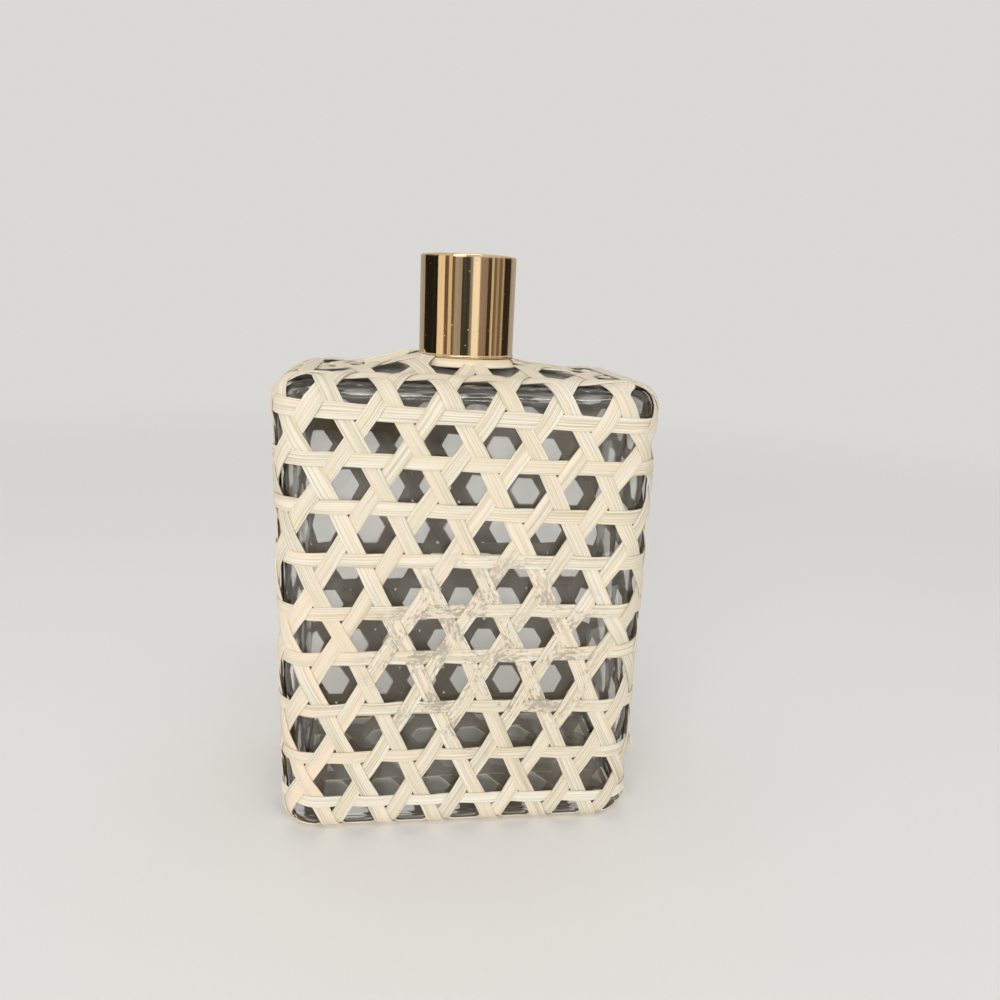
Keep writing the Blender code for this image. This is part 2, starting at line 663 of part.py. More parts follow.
def turned(name, profile, material):
    """A turned piece: a profile of radius and height pairs, run down its outer side."""
    mesh = bpy.data.meshes.new(name)
    points = [(radius, 0, z) for radius, z in profile]
    mesh.from_pydata(points, [(k, k + 1) for k in range(len(points) - 1)], [])
    piece = add_object(name, mesh, material)
    screw = piece.modifiers.new("Turn", "SCREW")
    screw.steps = CAP_SIDES
    screw.render_steps = CAP_SIDES
    screw.use_merge_vertices = True
    screw.merge_threshold = MERGE_DISTANCE
    screw.use_smooth_shade = True
    return piece


def add_cap():
    """The gold shell with its rolled lower edge, the threaded liner inside it and the sealing wad."""
    inner = CAP_RADIUS - CAP_SHEET
    turned("cap_shell", [
        (0, CAP_TOP_Z),
        (CAP_RADIUS - CAP_TOP_BEVEL, CAP_TOP_Z),
        (CAP_RADIUS, CAP_TOP_Z - CAP_TOP_BEVEL),
        (CAP_RADIUS, CAP_BASE_Z + 2 * CAP_CURL_RADIUS),
        (CAP_RADIUS + CAP_CURL_RADIUS / 2, CAP_BASE_Z + CAP_CURL_RADIUS),
        (CAP_RADIUS, CAP_BASE_Z),
        (inner, CAP_BASE_Z),
        (inner, CAP_TOP_Z - CAP_SHEET),
        (0, CAP_TOP_Z - CAP_SHEET),
    ], gold_metal)
    liner = turned("cap_liner", [
        (0, LINER_TOP_Z),
        (LINER_RADIUS, LINER_TOP_Z),
        (LINER_RADIUS, CAP_BASE_Z + LINER_RECESS),
        (LINER_BORE, CAP_BASE_Z + LINER_RECESS),
        (LINER_BORE, LINER_TOP_Z - LINER_TOP),
        (0, LINER_TOP_Z - LINER_TOP),
    ], liner_plastic)
    liner_ridge = thread_ridge("liner_thread_ridge", LINER_BORE - THREAD_SUNK,
                               THREAD_START_Z - THREAD_PITCH / 2)
    join(liner, liner_ridge)
    bpy.ops.mesh.primitive_cylinder_add(vertices=CAP_SIDES, radius=WAD_RADIUS, depth=WAD_THICKNESS,
                                        location=(0, 0, WAD_TOP_Z - WAD_THICKNESS / 2))
    wad = bpy.context.object
    wad.name = "sealing_wad"
    wad.data.materials.append(wad_board)


add_glass()
lay_family("rising", RISING_COLUMNS, 1, RISING_LAYER, rising_bamboo)
lay_family("falling", FALLING_COLUMNS, -1, FALLING_LAYER, falling_bamboo)
add_base_strips()
add_wall_hoops()
add_top_strips()
add_neck_ring()
add_cap()
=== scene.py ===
"""The looks of a flat glass whiskey bottle in an open hexagonal bamboo weave, with a tall gold screw cap.

Everything is in metres in the CAD's frame: the bottle stands on z = 0 and its broad front faces -Y.
Places on the bottle are given on its own skin: u runs round the outline from the middle of the front,
towards +X, and v runs up the profile from the middle of the base to the middle of the top.
"""
import itertools
import math
import random
from math import pi, radians, tau

import bmesh
import bpy
import numpy as np
from mathutils import Matrix, Vector


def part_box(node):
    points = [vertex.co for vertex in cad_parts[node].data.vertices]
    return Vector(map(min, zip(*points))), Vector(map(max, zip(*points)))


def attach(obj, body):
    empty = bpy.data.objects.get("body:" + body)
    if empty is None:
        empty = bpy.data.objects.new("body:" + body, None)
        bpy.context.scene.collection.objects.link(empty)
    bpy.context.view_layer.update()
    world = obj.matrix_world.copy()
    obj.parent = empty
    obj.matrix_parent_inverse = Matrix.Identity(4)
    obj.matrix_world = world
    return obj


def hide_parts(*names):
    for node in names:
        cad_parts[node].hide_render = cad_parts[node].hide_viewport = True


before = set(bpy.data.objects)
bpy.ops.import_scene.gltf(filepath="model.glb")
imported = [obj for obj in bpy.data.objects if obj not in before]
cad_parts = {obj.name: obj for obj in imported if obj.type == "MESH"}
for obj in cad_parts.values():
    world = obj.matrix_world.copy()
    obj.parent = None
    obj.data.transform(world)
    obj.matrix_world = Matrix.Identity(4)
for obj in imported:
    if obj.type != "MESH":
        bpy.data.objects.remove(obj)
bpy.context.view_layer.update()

# Glass bottle
# A moulded clear bottle: flat broad faces, upright rounded corners, a softer rounded shoulder, a low
# domed top and a short neck with a screw thread. It is one thick wall with an open mouth.
glass_low, glass_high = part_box("glass_bottle")
half_width, half_depth, lip_z = glass_high
base_z = glass_low.z
shoulder_z = base_z + 0.1401
corner_radius = 0.0115
base_edge_radius = 0.0042
shoulder_radius = 0.0110
front_glass_rounding = 0.0088
side_glass_rounding = 0.0062
side_starts = 0.034
side_reach = 0.012
top_rise = 0.0038
top_squareness = 6
top_steepness = 1.25
glass_wall = 0.0028
glass_floor = 0.0050
inner_floor_radius = 0.0040
neck_foot_radius = 0.0140
neck_radius = 0.01175
bore_radius = 0.00875
lip_round = 0.0008
thread_pitch = 0.0042
thread_turns = 1.25
thread_height = 0.0007
thread_half_width = 0.00062
thread_fade_turns = 0.08
thread_below_lip = 0.0030
neck_below_thread = 0.0014
neck_ends_below_round = 0.0002
neck_line_step = 0.00035
seam_distance = 0.00001
corner_facets = 14
flat_facets = 9
edge_facets = 10
wall_facets = 7
top_facets = 8
flare_facets = 6
lip_facets = 4

front_flat = 2 * (half_width - corner_radius)
side_flat = 2 * (half_depth - corner_radius)
corner_arc = corner_radius * pi / 2
perimeter = 2 * (front_flat + side_flat) + 4 * corner_arc
base_end = half_depth - base_edge_radius
wall_start = base_end + base_edge_radius * pi / 2
wall_end = wall_start + shoulder_z - base_z - base_edge_radius - shoulder_radius
shoulder_end = wall_end + shoulder_radius * pi / 2
top_middle = shoulder_end + half_depth - shoulder_radius
neck_foot_z = shoulder_z + top_rise
thread_start_z = lip_z - thread_below_lip - thread_turns * thread_pitch


def share_of(length, reach):
    """How much of a reach a length fills, from 0 to 1."""
    return np.clip(length / reach, 0, 1)


def eased(share):
    """A share that starts and ends gently."""
    return share * share * (3 - 2 * share)


def outline(u, half_x, half_y, radius, out=0):
    """Plan points at u round a rounded rectangle, from the middle of its front, moved out by out."""
    flats = 2 * (half_x - radius), 2 * (half_y - radius)
    arc = radius * pi / 2
    left = np.mod(u + flats[0] / 2, 2 * sum(flats) + 4 * arc)
    x, y = np.zeros((2, *left.shape))
    for side, (cos, sin) in enumerate(((1, 0), (0, 1), (-1, 0), (0, -1))):
        flat = flats[side % 2]
        reach = half_x if side % 2 else half_y
        angle = np.clip((left - flat) / radius, 0, pi / 2)
        px = np.minimum(left, flat) - flat / 2 + (radius + out) * np.sin(angle)
        py = radius - reach - (radius + out) * np.cos(angle)
        here = (left >= 0) & (left <= flat + arc)
        x = np.where(here, cos * px - sin * py, x)
        y = np.where(here, sin * px + cos * py, y)
        left = np.where(here, -1, left - flat - arc)
    return x, y


def around(u, out):
    """Plan points at u along the glass's outline, moved out by out."""
    return outline(u, half_width, half_depth, corner_radius, out)


def top_z(x, y):
    """The height of the glass's top over plan points: a low dome with a rounded edge."""
    half_x = half_width - shoulder_radius
    half_y = half_depth - shoulder_radius
    radius = np.maximum(np.hypot(x, y), neck_foot_radius)
    angle = np.arctan2(y, x)
    square = (np.abs(np.cos(angle) / half_x) ** top_squareness
              + np.abs(np.sin(angle) / half_y) ** top_squareness)
    border = square ** (-1 / top_squareness)
    past = np.hypot(np.maximum(np.abs(x) - half_x, 0), np.maximum(np.abs(y) - half_y, 0))
    drop = shoulder_radius - np.sqrt(np.maximum(shoulder_radius ** 2 - past ** 2, 0))
    climbed = share_of(border - radius, border - neck_foot_radius)
    return shoulder_z - drop + top_rise * climbed ** top_steepness


def toward_side(u):
    """0 along the middle of a broad face, rising to 1 at its corners and along the narrow sides."""
    from_middle = np.abs(np.mod(u / perimeter * 2 + 0.5, 1) - 0.5) * perimeter / 2
    return eased(share_of(from_middle - side_starts, side_reach))


def begin(name, add_primitive, **sizes):
    """A piece's primitive, selected alone."""
    bpy.ops.object.select_all(action="DESELECT")
    add_primitive(**sizes)
    bpy.context.object.name = name
    return bpy.context.object


def blank(name, across, along):
    """A flat sheet of across by along vertices, with each one's share of the way across and its row."""
    piece = begin(name, bpy.ops.mesh.primitive_grid_add, x_subdivisions=across - 1, y_subdivisions=along - 1,
                  size=2)
    piece.data.name = name
    flat = np.empty(len(piece.data.vertices) * 3)
    piece.data.vertices.foreach_get("co", flat)
    over, up, _ = (flat.reshape(-1, 3).T + 1) / 2
    return piece, over, np.rint(up * (along - 1)).astype(int)


def settle(piece, points):
    """Gives a sheet's vertices their places."""
    piece.data.vertices.foreach_set("co", np.asarray(points, float).ravel())
    piece.data.update()


# The upright lines of the glass's mesh stand at these places, and the first is repeated at the end
glass_u = [-front_flat / 2]
for length, facets in ((front_flat, flat_facets), (corner_arc, corner_facets),
                       (side_flat, flat_facets), (corner_arc, corner_facets)) * 2:
    start = glass_u[-1]
    glass_u.extend(start + length * k / facets for k in range(1, facets + 1))
glass_u = np.array(glass_u)
neck_angles = np.linspace(0, tau, len(glass_u)) + math.atan2(-half_depth, -front_flat / 2)
glass_rounding = front_glass_rounding + (side_glass_rounding - front_glass_rounding) * toward_side(glass_u)
glass_rings = []


def add_ring(x, y, z):
    glass_rings.append(np.column_stack([x, y, np.broadcast_to(z, len(glass_u))]))


def body_ring(inset, z):
    add_ring(*around(glass_u, -inset), z)


def top_ring(share, sunk):
    """A ring of the top, between the shoulder at 0 and the foot of the neck at 1."""
    x, y = around(glass_u, -shoulder_radius)
    x = x + (neck_foot_radius * np.cos(neck_angles) - x) * share
    y = y + (neck_foot_radius * np.sin(neck_angles) - y) * share
    add_ring(x, y, top_z(x, y) - sunk)


def round_ring(radius, z):
    add_ring(radius * np.cos(neck_angles), radius * np.sin(neck_angles), z)


def quarter(facets, first=0):
    """The sine and cosine at even steps through a right angle."""
    angles = [k / facets * pi / 2 for k in range(first, facets + 1)]
    return [(math.sin(angle), math.cos(angle)) for angle in angles]


# The outside from the middle of the base up to the lip, and then the inside back down
body_base = base_z + base_edge_radius
flare = neck_foot_radius - neck_radius
inner_flare = neck_foot_radius - bore_radius
inner_shoulder = glass_rounding - glass_wall
round_ring(0, base_z)
for sin, cos in quarter(edge_facets):
    body_ring(base_edge_radius * (1 - sin), base_z + base_edge_radius * (1 - cos))
for k in range(1, wall_facets):
    body_ring(0, body_base + k / wall_facets * (shoulder_z - glass_rounding - body_base))
for sin, cos in quarter(edge_facets):
    body_ring(glass_rounding * (1 - cos), shoulder_z - glass_rounding * (1 - sin))
for k in range(1, top_facets + 1):
    top_ring(k / top_facets, 0)
for sin, cos in quarter(flare_facets, 1):
    round_ring(neck_foot_radius - flare * sin, neck_foot_z + flare * (1 - cos))
turn = np.mod(neck_angles / tau, 1)
for z in np.arange(thread_start_z - neck_below_thread, lip_z - lip_round - neck_ends_below_round,
                   neck_line_step):
    ridge = 0
    for along in (turn, turn + 1):
        from_ridge = z - thread_start_z - along * thread_pitch
        fade = share_of(np.minimum(along, thread_turns - along), thread_fade_turns)
        ridge = ridge + thread_height * fade * np.exp(-(from_ridge / thread_half_width) ** 2)
    round_ring(neck_radius + ridge, z)
for sin, cos in quarter(lip_facets):
    round_ring(neck_radius - lip_round * (1 - cos), lip_z - lip_round * (1 - sin))
for sin, cos in quarter(lip_facets):
    round_ring(bore_radius + lip_round * (1 - sin), lip_z - lip_round * (1 - cos))
for sin, cos in reversed(quarter(flare_facets, 1)):
    round_ring(neck_foot_radius - inner_flare * sin, neck_foot_z - glass_wall + inner_flare * (1 - cos))
for k in range(top_facets, 0, -1):
    top_ring(k / top_facets, glass_wall)
for sin, cos in reversed(quarter(edge_facets)):
    body_ring(glass_wall + inner_shoulder * (1 - cos), shoulder_z - glass_rounding + inner_shoulder * sin)
for sin, cos in quarter(edge_facets):
    body_ring(glass_wall + inner_floor_radius * (1 - cos),
              base_z + glass_floor + inner_floor_radius * (1 - sin))
round_ring(0, base_z + glass_floor)

glass, over, ring = blank("blown_bottle", len(glass_u), len(glass_rings))
settle(glass, np.array(glass_rings)[ring, np.rint(over * (len(glass_u) - 1)).astype(int)])
bpy.ops.object.mode_set(mode="EDIT")
bpy.ops.mesh.select_all(action="SELECT")
bpy.ops.mesh.remove_doubles(threshold=seam_distance)
bpy.ops.mesh.normals_make_consistent(inside=False)
bpy.ops.object.mode_set(mode="OBJECT")
bpy.ops.object.shade_smooth_by_angle(angle=radians(40))


def new_material(name):
    """A new material, to which the calls that follow add nodes, and its shader."""
    global tree
    material = bpy.data.materials.new(name)
    material.use_nodes = True
    tree = material.node_tree
    return material, tree.nodes["Principled BSDF"]


def feed(node, inputs):
    """Sets a node's inputs, each to a fixed value or to another node's output, and gives its outputs."""
    for name, value in inputs.items():
        if isinstance(value, bpy.types.NodeSocket):
            tree.links.new(value, node.inputs[name])
        else:
            node.inputs[name].default_value = value
    return node.outputs


def add_node(kind, inputs={}, **settings):
    """The outputs of a new shader node of a kind."""
    node = tree.nodes.new("ShaderNode" + kind)
    for name, value in settings.items():
        setattr(node, name, value)
    return feed(node, inputs)


def noise(vector, scale, detail, roughness=0.5):
    return add_node("TexNoise", {"Vector": vector, "Scale": scale, "Detail": detail,
                                 "Roughness": roughness})["Fac"]


def bump(height, distance, strength):
    return add_node("Bump", {"Height": height, "Distance": distance, "Strength": strength})["Normal"]


def between(source, low, high, to_low=0.0, to_high=1.0, kind="SMOOTHSTEP"):
    """The share of the way that a value lies from low to high."""
    return add_node("MapRange", {"Value": source, "From Min": low, "From Max": high, "To Min": to_low,
                                 "To Max": to_high}, interpolation_type=kind)["Result"]


def counted(operation, *values):
    """A sum, product or the like of outputs and numbers."""
    return add_node("Math", dict(enumerate(values)), operation=operation)[0]


def mixed(share, first, second):
    """A shader mixed from two."""
    return add_node("MixShader", {0: share, 1: first, 2: second})[0]


def show(surface):
    """Makes a shader the one that the material shows."""
    feed(tree.nodes["Material Output"], {"Surface": surface})


# A little haze all over, and dust that lies on the top up to the foot of the neck
dust_starts = (shoulder_z - 0.0006, shoulder_z + 0.0006)
dust_ends = (neck_foot_z + 0.0010, neck_foot_z + 0.0024)
clear_glass, shader = new_material("Clear bottle glass")
place = add_node("TexCoord")["Object"]
height = add_node("SeparateXYZ", {"Vector": place})["Z"]
haze = between(noise(place, 60, 3), 0.45, 0.75, 0.02, 0.10, "LINEAR")
dusty_top = between(height, *dust_starts, 0, 0.30, "LINEAR")
clean_neck = between(height, *dust_ends, 1, 0, "LINEAR")
feed(shader, {"Base Color": (0.87, 0.865, 0.845, 1), "Transmission Weight": 1, "IOR": 1.5,
              "Roughness": counted("MULTIPLY_ADD", dusty_top, clean_neck, haze),
              "Normal": bump(noise(place, 45, 1), 0.0004, 0.10)})
lets_light_in = add_node("BsdfTransparent", {"Color": (0.86, 0.855, 0.835, 1)})["BSDF"]
show(mixed(add_node("LightPath")["Is Shadow Ray"], shader.outputs["BSDF"], lets_light_in))
glass.data.materials.append(clear_glass)
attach(glass, "bottle")
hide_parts("glass_bottle")

# Slanting strips
# The cover is an open hexagonal weave of bare, pale split bamboo: slivers a little uneven in width, with
# long grooves, bent over the bottle's edges and tucked under at their ends. Rising strips pass over the
# hoops, hoops over falling strips and falling strips over rising ones.
columns_round = 20
half_round = columns_round // 2
rows_up = 13
rising = 7 / rows_up
falling = -6 / rows_up
level = 0
passes_over = {rising: level, falling: rising, level: falling}
passes_under = {rising: falling, falling: level, level: rising}
front_pitch = 0.0168
front_columns = front_flat / 2 / front_pitch
# Where columns lie round the skin: at one pitch on the broad faces, at another along the narrow sides
column_knots, u_knots = np.array([
    (k * half_round + side * front_columns, k * perimeter / 2 + side * front_flat / 2)
    for k in range(-3, 5) for side in (-1, 1)]).T
lean_per_row = 0.0003
leaning_rows = (3, 9.5)
# The middle of each wall hoop at the left and the right of the front, lowest first
hoop_heights = (
    (0.0116, 0.0091), (0.0268, 0.0259), (0.0430, 0.0424), (0.0589, 0.0601), (0.0743, 0.0743),
    (0.0907, 0.0892), (0.1060, 0.1036), (0.1198, 0.1183), (0.1336, 0.1309),
)
heights_taken_at = 0.0503
even_row = top_middle / rows_up
base_rows = (0, 0.5, 1.5)
top_rows = (11.5, 12.5, rows_up)
first_hoop_row = 2.5
row_knots = np.array([*base_rows, *(k + first_hoop_row for k in range(len(hoop_heights))), *top_rows])
bamboo_thickness = 0.00040
eased_edge = 0.00008
weave_middle = 0.00115
over_and_under = 0.00025
edge_ease = 0.00006
corner_lift = {rising: 0.00015, falling: -0.0003, level: 0.0006}
least_squeeze = 0.25
slant_width = 0.0046
hoop_width = 0.0043
# The weave is stiff, so it bridges the rounded upper edge, most of all along the narrow sides
side_rounding = 0.0080
front_rounding = 0.0112
pile_radius = 0.030
pile_slope = 0.013
pile_height = 0.0009
pile_half_width = 0.02
pressed_flat = 0.00012
press_depth = 0.0006
# Nothing hand-woven is quite even: each slanting strip is shifted a little and sways, and each hoop waves
sway_random = random.Random(11)
slant_shifts = (-0.0003, 0.0003)
slant_sways = (0.00005, 0.00025)
sway_per_row = 1.3
rows_to_full_shift = 2
hoop_sways = (0.0001, 0.0004)
hoop_waves = 3
slant_sway = {family: [(sway_random.uniform(*slant_shifts), sway_random.uniform(0, tau),
                        sway_random.uniform(*slant_sways)) for _ in range(columns_round)]
              for family in (rising, falling)}
hoop_sway = [(sway_random.uniform(0, tau), sway_random.uniform(*hoop_sways)) for _ in range(rows_up)]


def row_levels(u):
    """How far up the skin each row knot lies at u, as one line of values for each knot."""
    angle = u / perimeter * tau
    seen_share = math.sin(heights_taken_at / perimeter * tau)
    levels = [np.full_like(u, k * even_row) for k in base_rows]
    for (left, right), (phase, size) in zip(hoop_heights, hoop_sway):
        z = (left + right) / 2 + (right - left) / 2 / seen_share * np.sin(angle)
        z = z + size * (np.sin(hoop_waves * angle + phase) - math.sin(phase))
        levels.append(wall_start + z - body_base)
    return np.array(levels + [np.full_like(u, k * even_row) for k in top_rows])


def level_of(row, u):
    """How far up the skin a row coordinate lies at u."""
    levels = row_levels(u)
    k = np.clip(np.searchsorted(row_knots, row, side="right") - 1, 0, len(row_knots) - 2)
    i = np.arange(len(u))
    share = (row - row_knots[k]) / (row_knots[k + 1] - row_knots[k])
    return levels[k, i] + share * (levels[k + 1, i] - levels[k, i])


def row_at(u, v):
    """The row coordinate of a point on the skin."""
    levels = row_levels(u)
    k = np.clip((levels <= v).sum(axis=0) - 1, 0, len(row_knots) - 2)
    i = np.arange(len(u))
    share = (v - levels[k, i]) / (levels[k + 1, i] - levels[k, i])
    return row_knots[k] + share * (row_knots[k + 1] - row_knots[k])


def lean(row):
    """How far the slanting strips lean over as they go up."""
    return lean_per_row * (np.clip(row, *leaning_rows) - leaning_rows[0])


def sway(family, line, row):
    """How far a slanting strip strays from its even line."""
    shift, phase, size = np.array(slant_sway[family])[np.mod(line, columns_round)].T
    return shift * share_of(row, rows_to_full_shift) + size * np.sin(row * sway_per_row + phase)


def shoulder_tilt(v):
    """How far the skin has turned over the rounded upper edge, in radians."""
    return np.clip((v - wall_end) / shoulder_radius, 0, pi / 2)


def base_tilt(v):
    return np.clip((wall_start - v) / base_edge_radius, 0, pi / 2)


def squeeze(u, v):
    """The way round at a point as a share of the wall's: less than 1 only where a corner is rounded off."""
    left = np.mod(u + front_flat / 2, perimeter / 2)
    on_arc = ((left > front_flat) & (left < front_flat + corner_arc)) | (left > perimeter / 2 - corner_arc)
    inset = (shoulder_radius * (1 - np.cos(shoulder_tilt(v))) + np.maximum(v - shoulder_end, 0)
             + base_edge_radius * (1 - np.cos(base_tilt(v))) + np.maximum(base_end - v, 0))
    return np.where(on_arc, np.clip(1 - inset / corner_radius, least_squeeze, 1), 1)


def clear_of(family, u, v, row):
    """How far a point lies outside the nearest strip of a family."""
    if family == level:
        middle = level_of(np.clip(np.floor(row), 0, rows_up - 1) + 0.5, u)
        return np.maximum(np.abs(v - middle) - hoop_width / 2, 0)
    line = np.rint(np.interp(u - lean(row), u_knots, column_knots) - 0.5 - family * row)
    middle = np.interp(line + 0.5 + family * row, column_knots, u_knots) + lean(row)
    middle = middle + sway(family, line.astype(int), row)
    slope = family * front_pitch / even_row
    return np.maximum(np.abs(u - middle) * squeeze(u, v) / math.hypot(1, slope) - slant_width / 2, 0)


def woven_height(family, u, v):
    """The height of a strip's middle above the glass: over one family and under the other."""
    row = row_at(u, v)
    over = clear_of(passes_over[family], u, v, row)
    under = clear_of(passes_under[family], u, v, row)
    lift = over_and_under * (under - over) / (under + over + 2 * edge_ease)
    return weave_middle + lift + corner_lift[family] * (1 - squeeze(u, v))


def bridging(u, v, h):
    """How much further than h the weave stands off the upper edge, as its own rounding is tighter."""
    rounding = front_rounding + (side_rounding - front_rounding) * toward_side(u)
    reach = shoulder_radius + h
    centre = np.maximum(reach - rounding, 0)
    cos, sin = np.cos(shoulder_tilt(v)), np.sin(shoulder_tilt(v))
    on_flat = np.minimum(cos, sin) / np.maximum(cos, sin) < centre / reach
    rounded = centre * (cos + sin) + np.sqrt(np.maximum(rounding ** 2 - centre ** 2 * (1 - 2 * cos * sin), 0))
    return np.where(on_flat, reach / np.maximum(cos, sin), rounded) - reach


def piled(x, y):
    """How far the strips' ends ride up over each other round the neck, more on the left."""
    near = share_of(pile_radius - np.hypot(x, y), pile_slope)
    return near * near * pile_height * (1 - np.clip(x / pile_half_width, -1, 1))


def past_edges(v, level_top, level_base):
    """Where a strip that is level on the top or the base has run past the rounded edges."""
    return ((v > shoulder_end) & level_top) | ((v < base_end) & level_base)


def skin(u, v, h, level_top=False, level_base=False):
    """Points h above the glass. A strip that is level on the top or the base runs straight on over it."""
    h = h + bridging(u, v, h)
    tilt = shoulder_tilt(v) - base_tilt(v)
    radius = np.where(v > (wall_start + wall_end) / 2, shoulder_radius, base_edge_radius)
    further = np.maximum(v - shoulder_end, 0) + np.maximum(base_end - v, 0)
    x, y = around(u, h * np.cos(tilt) - radius * (1 - np.cos(tilt)) - further)
    wall_z = np.clip(body_base + v - wall_start, body_base, shoulder_z - shoulder_radius)
    z = wall_z + (radius + h) * np.sin(tilt)
    half_turn = np.floor(u / perimeter * 2 + 0.5)
    way = np.where(np.mod(half_turn, 2) == 0, 1, -1)
    flat_y = np.where(v > base_end, top_middle - v, v)
    beyond = past_edges(v, level_top, level_base)
    x = np.where(beyond, way * (u - half_turn * perimeter / 2), x)
    y = np.where(beyond, -way * flat_y, y)
    z = np.where(v > shoulder_end, top_z(x, y) + h + piled(x, y), z)
    return np.column_stack([x, y, z])


def under_base(points):
    """Presses what lies under the base down to the floor, on which the weave stands."""
    points[:, 2] -= pressed_flat * share_of(base_z - points[:, 2], press_depth)
    return points


# The grain that every bamboo material shares: long fibres in fine grooves, a tone that drifts from strip
# to strip, rosy places, a few darker flecks and smudges
grain_group = bpy.data.node_groups.new("Split bamboo grain", "ShaderNodeTree")
for way, kind, names in (
        ("INPUT", "Vector", ("Along and across",)), ("INPUT", "Color", ("Pale", "Groove", "Blush")),
        ("INPUT", "Float", ("Blush share", "Worn share")), ("OUTPUT", "Color", ("Colour",)),
        ("OUTPUT", "Float", ("Roughness", "Height"))):
    for name in names:
        grain_group.interface.new_socket(name, in_out=way, socket_type="NodeSocket" + kind)
tree = grain_group
entry = tree.nodes.new("NodeGroupInput").outputs


def stretched_noise(along, across, detail, roughness):
    """A noise drawn out along the strip, at a scale per metre along and across it."""
    stretched = add_node("Mapping", {"Vector": entry["Along and across"], "Scale": (along, across, 1)})
    return noise(stretched["Vector"], 1, detail, roughness)


def blended(share, first, second):
    """A colour mixed from two, each an output or a fixed colour."""
    return add_node("Mix", {0: share, 6: first, 7: second}, data_type="RGBA")[2]


fibres = stretched_noise(14, 2700, 3, 0.62)
fine_fibres = stretched_noise(30, 7000, 2, 0.6)
tone = stretched_noise(9, 160, 2, 0.5)
strip_tone = stretched_noise(2, 25, 1, 0.5)
flecks = stretched_noise(420, 2300, 2, 0.6)
smudges = counted("ADD", stretched_noise(480, 1000, 4, 0.7),
                  counted("MULTIPLY", stretched_noise(110, 110, 1, 0.5), 0.6))
rosy = counted("MULTIPLY", between(tone, 0.36, 0.62), entry["Blush share"])
worn = counted("MULTIPLY", between(smudges, 0.79, 0.95, 0, 0.68), entry["Worn share"])
colour = blended(between(fibres, 0.38, 0.58, 1, 0), entry["Pale"], entry["Groove"])
for share, other in ((between(fine_fibres, 0.35, 0.6, 0.28, 0), entry["Groove"]), (rosy, entry["Blush"]),
                     (between(strip_tone, 0.35, 0.65, 0.22, 0), (0.72, 0.64, 0.46, 1)),
                     (between(flecks, 0.70, 0.78, 0, 0.6), (0.36, 0.28, 0.19, 1)),
                     (worn, (0.33, 0.28, 0.22, 1))):
    colour = blended(share, colour, other)
feed(tree.nodes.new("NodeGroupOutput"), {
    "Colour": colour,
    "Roughness": between(fibres, 0.3, 0.7, 0.62, 0.42),
    "Height": counted("ADD", counted("MULTIPLY", fibres, 0.75), counted("MULTIPLY", fine_fibres, 0.25)),
})

rosy_place, rosy_reach, rosy_gain = (-0.058, -0.030, 0.048), (0.032, 0.034, 0.060), 2.6
worn_place, worn_reach = (0.007, -0.036, 0.059), (0.046, 0.016, 0.041)


def patch(middle, reach, outside=0.0, inside=1.0):
    """A value that changes from outside to inside round a place on the bottle."""
    centred = add_node("VectorMath", {0: add_node("TexCoord")["Object"], 1: middle}, operation="SUBTRACT")
    scaled = add_node("VectorMath", {0: centred["Vector"], 1: reach}, operation="DIVIDE")
    distance = add_node("VectorMath", {0: scaled["Vector"]}, operation="LENGTH")
    return between(distance["Value"], 1, 0.55, outside, inside)


def bamboo(name, pale, groove, blush, blush_share):
    """A bamboo material, which takes its grain from the piece's own UV map."""
    material, shader = new_material(name)
    grain = add_node("Group", {
        "Along and across": add_node("UVMap", uv_map="UVMap")["UV"],
        "Pale": (*pale, 1), "Groove": (*groove, 1), "Blush": (*blush, 1),
        "Blush share": patch(rosy_place, rosy_reach, blush_share, rosy_gain * blush_share),
        "Worn share": patch(worn_place, worn_reach),
    }, node_tree=grain_group)
    feed(shader, {"Base Color": grain["Colour"], "Roughness": grain["Roughness"],
                  "Normal": bump(grain["Height"], 0.00012, 0.8), "Specular IOR Level": 0.4})
    return material


outer_bamboo = bamboo("Pale split bamboo", (0.955, 0.91, 0.78), (0.61, 0.52, 0.35), (0.95, 0.785, 0.60), 0.5)
# The inner faces' brown is partly the pith's own duller tone and partly painted shade: the back weave's
# inside lies in shade behind the glass.
pith_with_painted_shade = bamboo("Inner bamboo darkened as painted shade", (0.60, 0.51, 0.37), (0.42, 0.33, 0.21), (0.58, 0.43, 0.28), 0.5)

strip_random = random.Random(23)
strip_numbers = itertools.count(1)
lines_across = 11
swell_share = 0.03
swells_per_row = 7
grooves = 3
groove_places = (0.15, 0.85)
groove_depths = (0.00002, 0.00005)
groove_half_width = 0.06
grain_shift = (0.37, 0.05)
slant_width_shares = (0.95, 1.05)


def shaped_by(piece, kind, **settings):
    """Applies a modifier to a piece."""
    modifier = piece.modifiers.new(kind, kind)
    for name, value in settings.items():
        setattr(modifier, name, value)
    bpy.ops.object.modifier_apply(modifier=kind)


def dress_strip(piece, points, along, across, *cad_nodes, finish=(outer_bamboo, pith_with_painted_shade)):
    """Lays a sheet along its points and gives it its UV map, finish, thickness and eased edges."""
    settle(piece, points)
    number = next(strip_numbers)
    mesh = piece.data
    corner = np.empty(len(mesh.loops), int)
    mesh.loops.foreach_get("vertex_index", corner)
    uv = np.column_stack([along[corner] + grain_shift[0] * number, across[corner] + grain_shift[1] * number])
    mesh.uv_layers["UVMap"].data.foreach_set("uv", uv.ravel())
    for material in finish:
        mesh.materials.append(material)
    shaped_by(piece, "SOLIDIFY", thickness=bamboo_thickness, offset=0, material_offset=1)
    shaped_by(piece, "BEVEL", width=eased_edge, segments=1, limit_method="ANGLE", angle_limit=radians(50))
    bpy.ops.object.shade_smooth_by_angle(angle=radians(35))
    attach(piece, "bottle")
    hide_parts(*cad_nodes)


def on_skin(u, v):
    """A route's point in true u and v: below 0, its v has run on under the base and up the back."""
    return np.where(v < 0, perimeter / 2 - u, u), np.abs(v)


